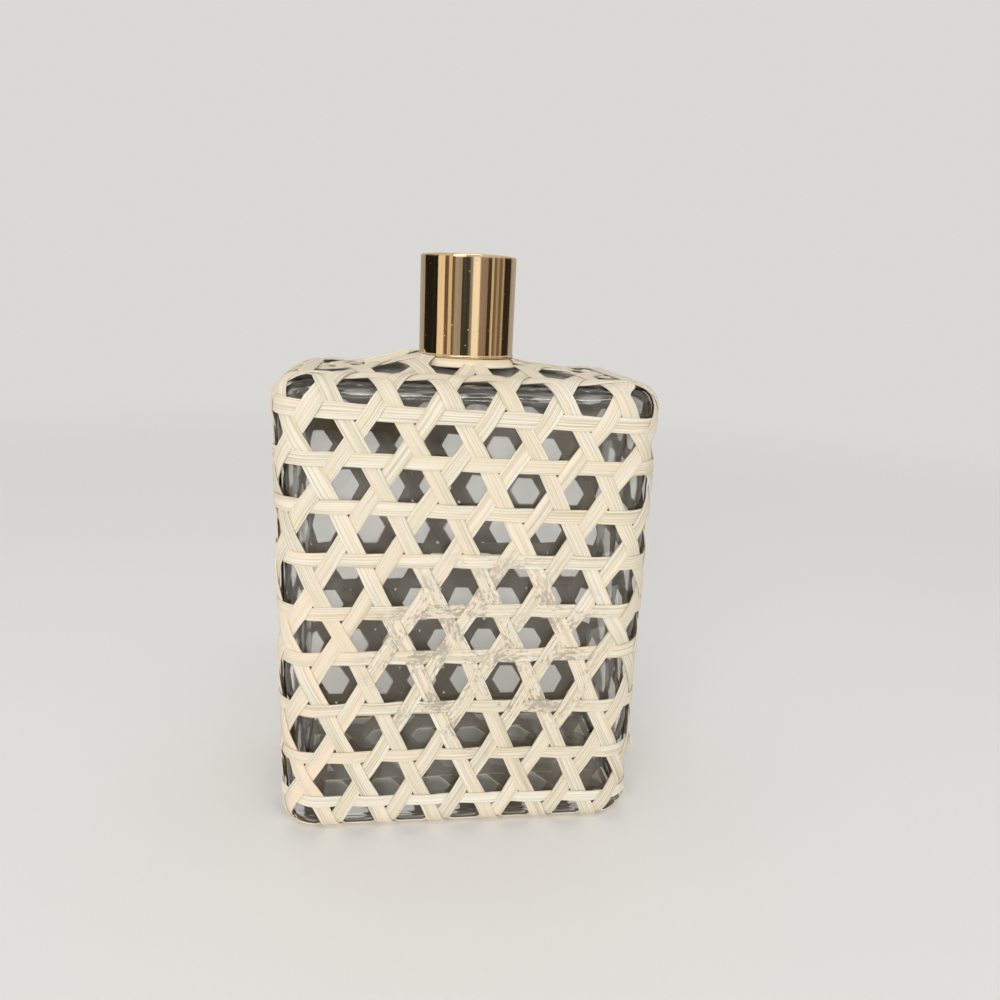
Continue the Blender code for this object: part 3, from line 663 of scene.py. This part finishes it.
def lay_strip(name, cad_node, family, rows, route_u, route_v, width, level_top=False, level_base=False,
              raised=0, **dressing):
    """One strip of a family along a route on the skin. It swells and narrows a little as it passes rows."""
    piece, over, station = blank(name, lines_across, len(route_u))
    step_u = np.gradient(route_u)
    step_v = np.gradient(route_v)
    true_u, true_v = on_skin(route_u, route_v)
    narrow = np.where(past_edges(true_v, level_top, level_base), 1, squeeze(true_u, true_v))
    length = np.hypot(step_u * narrow, step_v)
    swell = 1 + swell_share * np.sin(rows * swells_per_row + strip_random.uniform(0, tau))
    reach = (over - 0.5) * width * swell[station]
    u, v = on_skin(route_u[station] + reach * (step_v / length / narrow)[station],
                   route_v[station] - reach * (step_u * narrow / length)[station])
    height = woven_height(family, u, v)
    for _ in range(grooves):
        groove = strip_random.uniform(*groove_places)
        depth = strip_random.uniform(*groove_depths)
        height = height - depth * np.exp(-((over - groove) / groove_half_width) ** 2)
    height = height + np.broadcast_to(raised, len(route_u))[station]
    dress_strip(piece, under_base(skin(u, v, height, level_top, level_base)), np.cumsum(length)[station],
                (over - 0.5) * width, cad_node, **dressing)


station_step = 0.06
tuck_inset = 0.0098
neck_clear = 0.0158
corner_margin = 0.15
search_step = 0.02
rows_past_middle = 0.25


def on_front(column, family):
    """The broad face that a slanting strip is wholly on at a column, and its column there, or None."""
    half_strip = slant_width * math.hypot(1, family * front_pitch / even_row) / 2 / front_pitch
    for middle in (0, half_round):
        local = (column - middle + half_round) % columns_round - half_round
        if abs(local) + half_strip <= front_columns:
            return middle, local
    return None


def top_row_of(column, family):
    """The row where a strip that starts at a column ends on the top, and if it lies on a broad face."""
    row = shoulder_row = shoulder_end / even_row
    found = on_front(column + family * shoulder_row, family)
    if found is None:
        return (wall_end + shoulder_radius * math.acos(1 - tuck_inset / shoulder_radius)) / even_row, False
    while row < rows_up + rows_past_middle:
        x = (found[1] + family * (row - shoulder_row)) * front_pitch
        from_neck = math.hypot(max(abs(x) - slant_width / 2, 0), top_middle - row * even_row)
        if from_neck < neck_clear or abs(x) > half_width - tuck_inset:
            break
        row += search_step
    return row, True


def lay_family(label, family):
    """All strips of a slanting family, in the order of the CAD's nodes."""
    numbers = itertools.count(1)
    base_row = base_end / even_row
    for line in range(columns_round):
        start = line + 0.5
        high, level_top = top_row_of(start, family)
        found = on_front(start + family * base_row, family)
        if found is None:
            low = (half_depth - tuck_inset) / even_row
        else:
            local = found[1] - family * base_row
            low = (math.copysign(front_columns - corner_margin, -family) - local) / family
            if low < -base_row:
                # It was laid from the front already, as it runs through under the base
                if found[0] == half_round:
                    continue
                low = -top_row_of(half_round - local, family)[0]
            start = found[0] + local
        stations = np.arange(low, high, station_step)
        rows = np.abs(stations)
        lines = np.where(stations < 0, round(half_round - start - 0.5), round(start - 0.5))
        drift = lean(rows) + sway(family, lines, rows)
        route_u = np.interp(start + family * stations, column_knots, u_knots)
        route_u = route_u + np.where(stations < 0, -drift, drift)
        route_v = np.sign(stations) * level_of(rows, on_skin(route_u, stations)[0])
        number = next(numbers)
        width = slant_width * strip_random.uniform(*slant_width_shares)
        lay_strip(f"{label}_sliver_{number:02d}", f"{label}_strip_{number:02d}", family, stations, route_u,
                  route_v, width, level_top, found is not None)


lay_family("rising", rising)
lay_family("falling", falling)

# Hoops
# Nine level strips round the walls, the lowest one painted paler as painted light, where the floor's bounce
# brightens it. Each goes once round, and its end is
# tucked over its own start: on the front for one hoop, and on the back and the sides for the others.
hoop_widths = (0.0036, 0.0039, 0.0041, 0.0042, 0.0042, 0.0041, 0.0043, 0.0043, 0.0042)
hoop_lap = 0.014
lap_slope, lap_rise, lap_sink = 0.004, 0.00011, 0.00034
shown_hoop = 5
shown_start = 0.0035
hidden_start_shares = (0.30, 0.70)
hoop_width_shares = (0.97, 1.03)
route_step = 0.0011
# The lowest hoop's paler colour is painted light: the floor's bounced light brightens it.
lit_low_hoop_bamboo = bamboo("Lowest hoop painted lighter", (0.985, 0.955, 0.86), (0.78, 0.70, 0.54),
                         (0.96, 0.86, 0.74), 0.2)


def lapped(stations, start, total, lap, slope, rise, sink):
    """How far a hoop's end rises over its own start, which sinks under it."""
    risen = share_of(stations - start - total + slope, slope) * rise
    return risen - share_of(start + lap + slope - stations, slope) * sink


for index, width in enumerate(hoop_widths):
    start = shown_start if index == shown_hoop else strip_random.uniform(*hidden_start_shares) * perimeter
    route_u = np.arange(start, start + perimeter + hoop_lap, route_step)
    lay_strip(f"hoop_sliver_{index + 1:02d}", f"hoop_{index + 1:02d}", level, route_u / even_row, route_u,
              level_of(np.full(len(route_u), index + first_hoop_row), route_u),
              width * strip_random.uniform(*hoop_width_shares),
              raised=lapped(route_u, start, perimeter, hoop_lap, lap_slope, lap_rise, lap_sink),
              finish=(outer_bamboo if index else lit_low_hoop_bamboo, pith_with_painted_shade))

# Shoulder hoop and base hoop
# The hoop along the edge of the top, and the one under the base that the bottle stands on. Both lie on a
# level face, so they are rounded rectangles in plan, over the side strips' tucked ends.
shoulder_hoop_row = 11.41
base_hoop_row = 1.5
hoop_corner = 0.0048
plan_lap, plan_slope, plan_rise, plan_sink = 0.010, 0.003, 0.00004, 0.00037
over_ends = weave_middle + 0.00027
under_hoops = weave_middle - 0.00025
edge_margin = 0.0005
corner_starts = front_flat / 2 - 0.006
corner_reach = 0.004


def unroll(x, y):
    """Where on the skin plan points of the top or base lie: u, how far in, and if on a broad face's side."""
    along_x = np.clip(x, -front_flat / 2, front_flat / 2)
    along_y = np.clip(y, -side_flat / 2, side_flat / 2)
    in_x, in_y = half_width - np.abs(x), half_depth - np.abs(y)
    broad = in_y <= in_x
    u_broad = np.where(y < 0, along_x, perimeter / 2 - along_x)
    u_side = np.where(x > 0, perimeter / 4 + along_y, perimeter * 3 / 4 - along_y)
    return np.where(broad, u_broad, u_side), np.where(broad, in_y, in_x), broad


def lay_plan_strip(name, cad_node, plan_x, plan_y, width, top, side_height, lift=0):
    """A strip along a plan route on the top or under the base, and its height where it reaches the sides."""
    piece, over, station = blank(name, lines_across, len(plan_x))
    step_x, step_y = np.gradient(plan_x), np.gradient(plan_y)
    length = np.hypot(step_x, step_y)
    reach = (over - 0.5) * (width if top else -width)
    x = plan_x[station] + reach * (step_y / length)[station]
    y = plan_y[station] - reach * (step_x / length)[station]
    u, inset, broad = unroll(x, y)
    if top:
        on_edge = wall_end + shoulder_radius * np.arccos(1 - share_of(inset, shoulder_radius))
        v = np.where(inset < shoulder_radius, on_edge, shoulder_end + inset - shoulder_radius)
    else:
        v = half_depth - inset
    woven = woven_height(level, u, np.clip(v, edge_margin, top_middle - edge_margin))
    height = np.where(broad, woven, side_height)
    height = height + (side_height - height) * share_of(np.abs(x) - corner_starts, corner_reach)
    height = height + np.broadcast_to(lift, len(plan_x))[station]
    if top:
        height = height + bridging(u, v, height) + piled(x, y)
        points = np.column_stack([x, y, top_z(x, y) + height])
    else:
        points = under_base(np.column_stack([x, y, base_z - height]))
    along = np.concatenate([[0], np.cumsum(np.hypot(np.diff(plan_x), np.diff(plan_y)))])
    dress_strip(piece, points, along[station], reach, cad_node)


shoulder_inset = half_depth - (top_middle - shoulder_hoop_row * even_row)
for name, cad_node, top, inset in (
        ("shoulder_sliver", "shoulder_hoop", True, shoulder_inset),
        ("base_ring_sliver", "base_hoop", False, half_depth - base_hoop_row * even_row)):
    half_x, half_y = half_width - inset, half_depth - inset
    total = 4 * (half_x + half_y - 2 * hoop_corner) + tau * hoop_corner
    stations = np.arange(0, total + plan_lap, route_step)
    front_x, front_y = outline(stations, half_x, half_y, hoop_corner)
    lay_plan_strip(name, cad_node, -front_x, -front_y, hoop_width, top, over_ends,
                   lapped(stations, 0, total, plan_lap, plan_slope, plan_rise, plan_sink))

# Short strips beside the neck and under the base
# Level strips that lie along the top on both sides of the neck and along the base, between the hoops,
# with their ends tucked under the hoop there.
half_row = 0.5 * even_row
tucked_under = 0.0005
strip_end = half_width - shoulder_inset + tucked_under
beside_neck = math.sqrt(neck_clear ** 2 - half_row ** 2)
top_routes = [(side_x * np.arange(beside_neck, strip_end, route_step), side_y)
              for side_x in (-1, 1) for side_y in (-1, 1)]
base_routes = [(np.arange(-strip_end, strip_end, route_step), side_y) for side_y in (-1, 1)]
for kind, routes in (("top", top_routes), ("base", base_routes)):
    for number, (xs, side_y) in enumerate(routes, 1):
        lay_plan_strip(f"{kind}_sliver_{number}", f"{kind}_strip_{number}", xs,
                       np.full(len(xs), side_y * half_row), slant_width, kind == "top", under_hoops)

# Foot strand and loose slivers
# A thin strand runs round the lower edge, under the strips' crossings. A few split ends stand off the
# weave: three by the right edge, one by the neck and a dark fibre under the cap.
strand_v = wall_start - 0.0045
strand_width = 0.0022
strand_low, strand_rise, strand_slope = 0.00042, 0.00085, 0.0012
strand_lap, strand_end_slope, strand_end_rise = 0.006, 0.002, 0.0003
stations = np.arange(0, perimeter + strand_lap, route_step)
piece, over, station = blank("foot_strand", 5, len(stations))
u = stations[station] + perimeter / 2
v = strand_v - (over - 0.5) * strand_width
row = row_at(u, v)
clear = np.minimum(clear_of(rising, u, v, row), clear_of(falling, u, v, row))
height = strand_low + strand_rise * eased(share_of(clear, strand_slope))
height = height + lapped(stations[station], 0, perimeter, 0, strand_end_slope, strand_end_rise, 0)
dress_strip(piece, skin(u, v, height), stations[station], (over - 0.5) * strand_width)

# Each loose sliver's name, width and route, and the way that its face looks if not straight outwards
sliver_routes = (
    ("neck_sliver", 0.0032, (0, -0.5, 0.87), (
        (-0.0315, -0.0050, 0.1446), (-0.0270, -0.0040, 0.1457), (-0.0228, -0.0030, 0.1468),
        (-0.0195, -0.0022, 0.1480), (-0.0173, -0.0018, 0.1490))),
    ("corner_sliver_1", 0.0011, None, (
        (0.0560, -0.0255, 0.0215), (0.0564, -0.0262, 0.0245), (0.0569, -0.0264, 0.0272),
        (0.0570, -0.0268, 0.0250), (0.0570, -0.0272, 0.0205))),
    ("corner_sliver_2", 0.0008, None, (
        (0.0563, -0.0225, 0.0330), (0.0566, -0.0240, 0.0290), (0.0569, -0.0252, 0.0262),
        (0.0570, -0.0262, 0.0228))),
    ("hem_sliver", 0.0009, None, (
        (0.0556, -0.0270, 0.0085), (0.0560, -0.0274, 0.0062), (0.0561, -0.0277, 0.0040))),
    ("dark_strand", 0.0004, None, (
        (0.0130, -0.0079, 0.1475), (0.0133, -0.0083, 0.1471), (0.0138, -0.0089, 0.1464),
        (0.0143, -0.0096, 0.1456), (0.0150, -0.0103, 0.1450), (0.0158, -0.0108, 0.1448))),
)
points_between = 6
smoothings = 6
tapered_points = 8
least_taper = 0.25
bark = bamboo("Dark bark strand", (0.16, 0.11, 0.07), (0.08, 0.05, 0.03), (0.20, 0.12, 0.06), 0.5)
for name, width, faces, route in sliver_routes:
    knots = np.linspace(0, len(route) - 1, points_between * len(route))
    line = np.column_stack([np.interp(knots, range(len(route)), places) for places in zip(*route)])
    for _ in range(smoothings):
        line[1:-1] = (line[:-2] + 2 * line[1:-1] + line[2:]) / 4
    piece, over, station = blank(name, 3, len(line))
    forwards = np.gradient(line, axis=0)
    sideways = np.cross(forwards, faces or line * (1, 1, 0))
    sideways /= np.linalg.norm(sideways, axis=1)[:, None]
    taper = np.clip((len(line) - np.arange(len(line))) / tapered_points, least_taper, 1)
    reach = ((over - 0.5) * width * taper[station])[:, None]
    along = np.cumsum(np.linalg.norm(forwards, axis=1))[station]
    dress_strip(piece, line[station] + sideways[station] * reach, along, (over - 0.5) * width,
                finish=(bark, bark) if name == "dark_strand" else (outer_bamboo, pith_with_painted_shade))

# Neck ring
# A strip of bamboo, smooth and rosy, wound twice round the foot of the neck. It lies over the ends of the
# weave and holds them.
ring_outer = 0.0174
ring_windings = 2.15
ring_start = -2.2
ring_tightens = 0.0007
ring_narrows = 0.0023
ring_height = 0.0021
ring_climbs = 0.0002
ring_crown = 0.0003
ring_sunk = 0.0006
ring_strip_width = 0.0032
winding = np.arange(0, ring_windings * tau, radians(4))
piece, over, station = blank("neck_winding", 9, len(winding))
angle = winding[station] + ring_start
turn_share = (winding / tau)[station] / ring_windings
up = 1 - over
radius = ring_outer - ring_tightens * turn_share - ring_narrows * up
z = neck_foot_z - ring_sunk + ring_climbs * turn_share + ring_height * up + ring_crown * np.sin(up * pi)
rosy_bamboo = bamboo("Rosy neck bamboo", (0.98, 0.92, 0.72), (0.74, 0.60, 0.40), (0.98, 0.78, 0.52), 0.5)
dress_strip(piece, np.column_stack([radius * np.cos(angle), radius * np.sin(angle), z]),
            winding[station] * ring_outer, (over - 0.5) * ring_strip_width, "neck_ring",
            finish=(rosy_bamboo, pith_with_painted_shade))

# Cap shell
# A tall drawn aluminium cap, anodised a warm gold and polished, with a small bevel round its top and a
# rolled lower edge. It is one thin sheet throughout.
cap_low, cap_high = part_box("cap_shell")
cap_radius = 0.01475
cap_sheet = 0.00045
cap_bevel = 0.0006
rim_width = 0.0015
dish_depth = 0.00015
dish_ring = 0.0040
# A ring just under the top keeps the wall's reflections straight
top_band = 0.0016
band_z = cap_high.z - top_band
roll_z = cap_low.z + 0.0010
# How far each step of the rolled edge goes outwards and down
roll_steps = ((0.00014, 0.00015), (0.00010, 0.00020), (0.00002, 0.00030), (-0.00010, 0.00020),
              (-0.00022, 0.00015))
match_distance = 0.00001


def pick(kind, z, radius=None):
    """Selects the cap's faces or edges that lie level at z, and at a radius if one is given."""
    bpy.ops.mesh.select_mode(type=kind)
    bpy.ops.mesh.select_all(action="DESELECT")
    shape = bmesh.from_edit_mesh(cap.data)
    for item in shape.faces if kind == "FACE" else shape.edges:
        off = max(abs(corner.co.z - z) for corner in item.verts)
        if radius is not None:
            off = max(off, *(abs(corner.co.xy.length - radius) for corner in item.verts))
        if off < match_distance:
            item.select_set(True)
    bmesh.update_edit_mesh(cap.data)


cap = begin("gold_cap", bpy.ops.mesh.primitive_cylinder_add, vertices=128, radius=cap_radius,
            depth=band_z - roll_z, location=(0, 0, (band_z + roll_z) / 2))
bpy.ops.object.transform_apply(location=True)
bpy.ops.object.mode_set(mode="EDIT")
pick("FACE", roll_z)
bpy.ops.mesh.delete(type="ONLY_FACE")
edge_z = roll_z
edge_radius = cap_radius
for outwards, down in roll_steps:
    pick("EDGE", edge_z)
    bpy.ops.mesh.extrude_edges_move(TRANSFORM_OT_translate={"value": (0, 0, -down)})
    grow = (edge_radius + outwards) / edge_radius
    edge_z -= down
    edge_radius += outwards
    bpy.ops.transform.resize(value=(grow, grow, 1), center_override=(0, 0, edge_z))
pick("FACE", band_z)
bpy.ops.mesh.extrude_region_move(TRANSFORM_OT_translate={"value": (0, 0, top_band)})
bpy.ops.mesh.inset(thickness=rim_width)
bpy.ops.transform.translate(value=(0, 0, -dish_depth))
bpy.ops.mesh.inset(thickness=dish_ring)
pick("EDGE", cap_high.z, cap_radius)
bpy.ops.mesh.bevel(offset=cap_bevel, segments=3, affect="EDGES")
bpy.ops.mesh.select_all(action="SELECT")
bpy.ops.mesh.normals_make_consistent(inside=False)
bpy.ops.object.mode_set(mode="OBJECT")
shaped_by(cap, "SOLIDIFY", thickness=cap_sheet, offset=-1)
bpy.ops.object.shade_smooth_by_angle(angle=radians(35))

gold, shader = new_material("Polished gold anodised aluminium")
texture = add_node("TexCoord")
dust = noise(texture["Object"], 900, 2)
drawn = add_node("Mapping", {"Vector": texture["Object"], "Scale": (500, 500, 12)})["Vector"]
streaks = noise(drawn, 1, 3)
on_wall = between(add_node("SeparateXYZ", {"Vector": texture["Normal"]})["Z"], 0.3, 0.8, 1, 0)
streaked = counted("MULTIPLY", between(streaks, 0.35, 0.65), on_wall)
gold_tone = blended(streaked, (0.78, 0.56, 0.30, 1), (0.86, 0.66, 0.40, 1))
feed(shader, {
    "Metallic": 1,
    "Base Color": blended(between(dust, 0.70, 0.76, 0, 0.5), gold_tone, (0.72, 0.66, 0.55, 1)),
    "Roughness": counted("ADD", counted("MULTIPLY_ADD", streaked, 0.08, 0.05),
                         between(dust, 0.70, 0.76, 0, 0.35)),
    "Normal": bump(counted("MULTIPLY", streaks, on_wall), 0.0001, 0.12),
})
cap.data.materials.append(gold)
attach(cap, "cap")
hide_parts("cap_shell")

# Cap liner and sealing wad
# A moulded white plastic thread insert, and the pulp-board disc that seals on the lip. Both are the CAD's
# own nodes with a fuller finish.
for cad_node, tone, other_tone, roughness, scale in (
        ("cap_liner", (0.80, 0.79, 0.75, 1), (0.72, 0.70, 0.65, 1), (0.38, 0.5), 120),
        ("sealing_wad", (0.74, 0.69, 0.58, 1), (0.60, 0.54, 0.43, 1), (0.75, 0.9), 900)):
    finish, shader = new_material(cad_node.replace("_", " "))
    speckle = noise(add_node("TexCoord")["Object"], scale, 4)
    feed(shader, {"Base Color": blended(between(speckle, 0.35, 0.65), tone, other_tone),
                  "Roughness": between(speckle, 0.3, 0.7, *roughness),
                  "Normal": bump(speckle, 0.00005, 0.4)})
    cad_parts[cad_node].data.materials[0] = finish

# Floor, light and camera
# A plain pale floor that runs to the horizon, large soft lamps and the photograph's camera. A tent of
# tall windows and dark gaps stands round the bottle, and only reflections show it.
floor_radius = 6
backdrop_colour = (0.70, 0.69, 0.665, 1)
backdrop_starts = (0.30, 1.1)
shaded_under = (0.001, 0.004)
world_light = 0.62
lamps_aim = Vector((0, 0, 0.09))
camera_place = (-0.0232, -0.2533, 0.1648)
camera_yaw, camera_pitch, camera_roll = (radians(angle) for angle in (8.16, 14.15, 2.60))
frame_pixels = 1000
focal_pixels = 788
tent_radius = 0.9
tent_height = 0.9
tent_fades = (0.30, 0.45)
# Where each band of the tent starts, as a share of the cap's width from its left, and its light
tent_bands = (
    (0.000, (0.45, 0.44, 0.42)), (0.055, (0.02, 0.018, 0.015)), (0.190, (1.05, 0.95, 0.85)),
    (0.262, (0.16, 0.11, 0.07)), (0.300, (0.85, 0.75, 0.62)), (0.335, (0.14, 0.10, 0.07)),
    (0.365, (0.42, 0.40, 0.42)), (0.435, (0.05, 0.055, 0.05)), (0.520, (0.32, 0.32, 0.33)),
    (0.548, (1.15, 1.13, 1.10)), (0.620, (0.34, 0.27, 0.25)), (0.700, (0.06, 0.05, 0.045)),
    (0.738, (0.75, 0.68, 0.58)), (0.760, (0.22, 0.18, 0.14)), (0.790, (0.45, 0.40, 0.34)),
    (0.815, (0.20, 0.16, 0.12)), (0.845, (0.50, 0.45, 0.38)), (0.870, (0.035, 0.03, 0.028)),
    (0.940, (0.45, 0.44, 0.42)),
)


def meets_backdrop(rays):
    """1 for the rays that meet the plain background: what the camera, a gloss or a glass sees."""
    direct = counted("MAXIMUM", rays["Is Camera Ray"], rays["Is Glossy Ray"])
    return counted("MAXIMUM", direct, rays["Is Transmission Ray"])


floor = begin("floor", bpy.ops.mesh.primitive_circle_add, vertices=96, radius=floor_radius, fill_type="NGON")
pale_floor, shader = new_material("Pale floor")
feed(shader, {"Base Color": (0.93, 0.915, 0.885, 1), "Roughness": 0.8, "Specular IOR Level": 0.2})
rays = add_node("LightPath")
distance = add_node("VectorMath", {0: add_node("TexCoord")["Object"]}, operation="LENGTH")["Value"]
backdrop_share = counted("MULTIPLY", between(distance, *backdrop_starts), meets_backdrop(rays))
backdrop = add_node("Emission", {"Color": backdrop_colour})["Emission"]
# From below the floor isn't there, and it sends no light back to what stands right on it
close_under = counted("MULTIPLY", rays["Is Diffuse Ray"], between(rays["Ray Length"], *shaded_under, 1, 0))
see_through = counted("MAXIMUM", add_node("NewGeometry")["Backfacing"], close_under)
show(mixed(see_through, mixed(backdrop_share, shader.outputs["BSDF"], backdrop),
           add_node("BsdfTransparent")["BSDF"]))
floor.data.materials.append(pale_floor)

scene = bpy.context.scene
scene.world = bpy.data.worlds.new("Studio")
scene.world.use_nodes = True
tree = scene.world.node_tree
light = feed(tree.nodes["Background"], {"Color": (1, 1, 1, 1), "Strength": world_light})["Background"]
seen = add_node("Background", {"Color": backdrop_colour})["Background"]
feed(tree.nodes["World Output"], {"Surface": mixed(meets_backdrop(add_node("LightPath")), light, seen)})


def soft_lamp(name, place, size, power):
    """An area lamp that faces the bottle's middle."""
    data = bpy.data.lights.new(name, "AREA")
    data.shape = "RECTANGLE"
    data.size, data.size_y = size
    data.energy = power
    lamp = bpy.data.objects.new(name, data)
    scene.collection.objects.link(lamp)
    away = Vector(place) - lamps_aim
    lamp.matrix_world = Matrix.Translation(place) @ away.to_track_quat("Z", "Y").to_matrix().to_4x4()
    return lamp


soft_lamp("key", (-0.55, -1.05, 0.55), (0.6, 0.6), 2.7)
low_fill = soft_lamp("low fill", (-0.15, -1.10, 0.18), (0.8, 0.2), 2.0)
low_fill.visible_glossy = False
low_fill.visible_transmission = False
soft_lamp("top", (0.1, 0.30, 1.1), (0.9, 0.6), 0.4)
soft_lamp("window", (0.02, -0.46, 0.95), (0.62, 0.045), 1.0)

tent = begin("light_tent", bpy.ops.mesh.primitive_cylinder_add, vertices=96, radius=tent_radius,
             depth=tent_height, end_fill_type="NOTHING", location=(0, 0, tent_height / 2))
bpy.ops.object.transform_apply(location=True)
tent_light, _ = new_material("Light tent")
toward_camera = math.atan2(camera_place[1], camera_place[0])
turned = add_node("Mapping", {"Vector": add_node("TexCoord")["Object"], "Rotation": (0, 0, -toward_camera)})
across = add_node("SeparateXYZ", {"Vector": turned["Vector"]})
angle = counted("ARCTAN2", across["Y"], across["X"])
round_share = between(angle, -pi, pi, kind="LINEAR")
bands = tree.nodes.new("ShaderNodeValToRGB")
ramp = bands.color_ramp
ramp.interpolation = "CONSTANT"
for index, (share, colour) in enumerate(tent_bands):
    # Where round the tent the cap's wall reflects at this share of its width
    stop = 0.5 + 2 * math.asin(2 * share - 1) / tau
    band = ramp.elements.new(stop) if index else ramp.elements[0]
    band.position = stop
    band.color = (*colour, 1)
ramp.elements.remove(ramp.elements[-1])
streaks = add_node("TexNoise", {"W": round_share, "Scale": 260, "Detail": 3}, noise_dimensions="1D")["Fac"]
glow = add_node("Emission", {"Color": feed(bands, {"Fac": round_share})["Color"],
                             "Strength": between(streaks, 0.35, 0.65, 0.7, 1.2)})["Emission"]
low_reflection = counted("MULTIPLY", add_node("LightPath")["Is Glossy Ray"],
                         between(across["Z"], *tent_fades, 1, 0))
show(mixed(low_reflection, add_node("BsdfTransparent")["BSDF"], glow))
tent.data.materials.append(tent_light)

camera_data = bpy.data.cameras.new("camera")
camera_data.sensor_width = 36
camera_data.lens = focal_pixels / frame_pixels * camera_data.sensor_width
camera_data.clip_start = 0.01
camera = bpy.data.objects.new("camera", camera_data)
scene.collection.objects.link(camera)
turned = Matrix.Rotation(-camera_yaw, 4, "Z") @ Matrix.Rotation(pi / 2 - camera_pitch, 4, "X")
camera.matrix_world = Matrix.Translation(camera_place) @ turned @ Matrix.Rotation(camera_roll, 4, "Z")
scene.camera = camera
scene.view_settings.view_transform = "Standard"
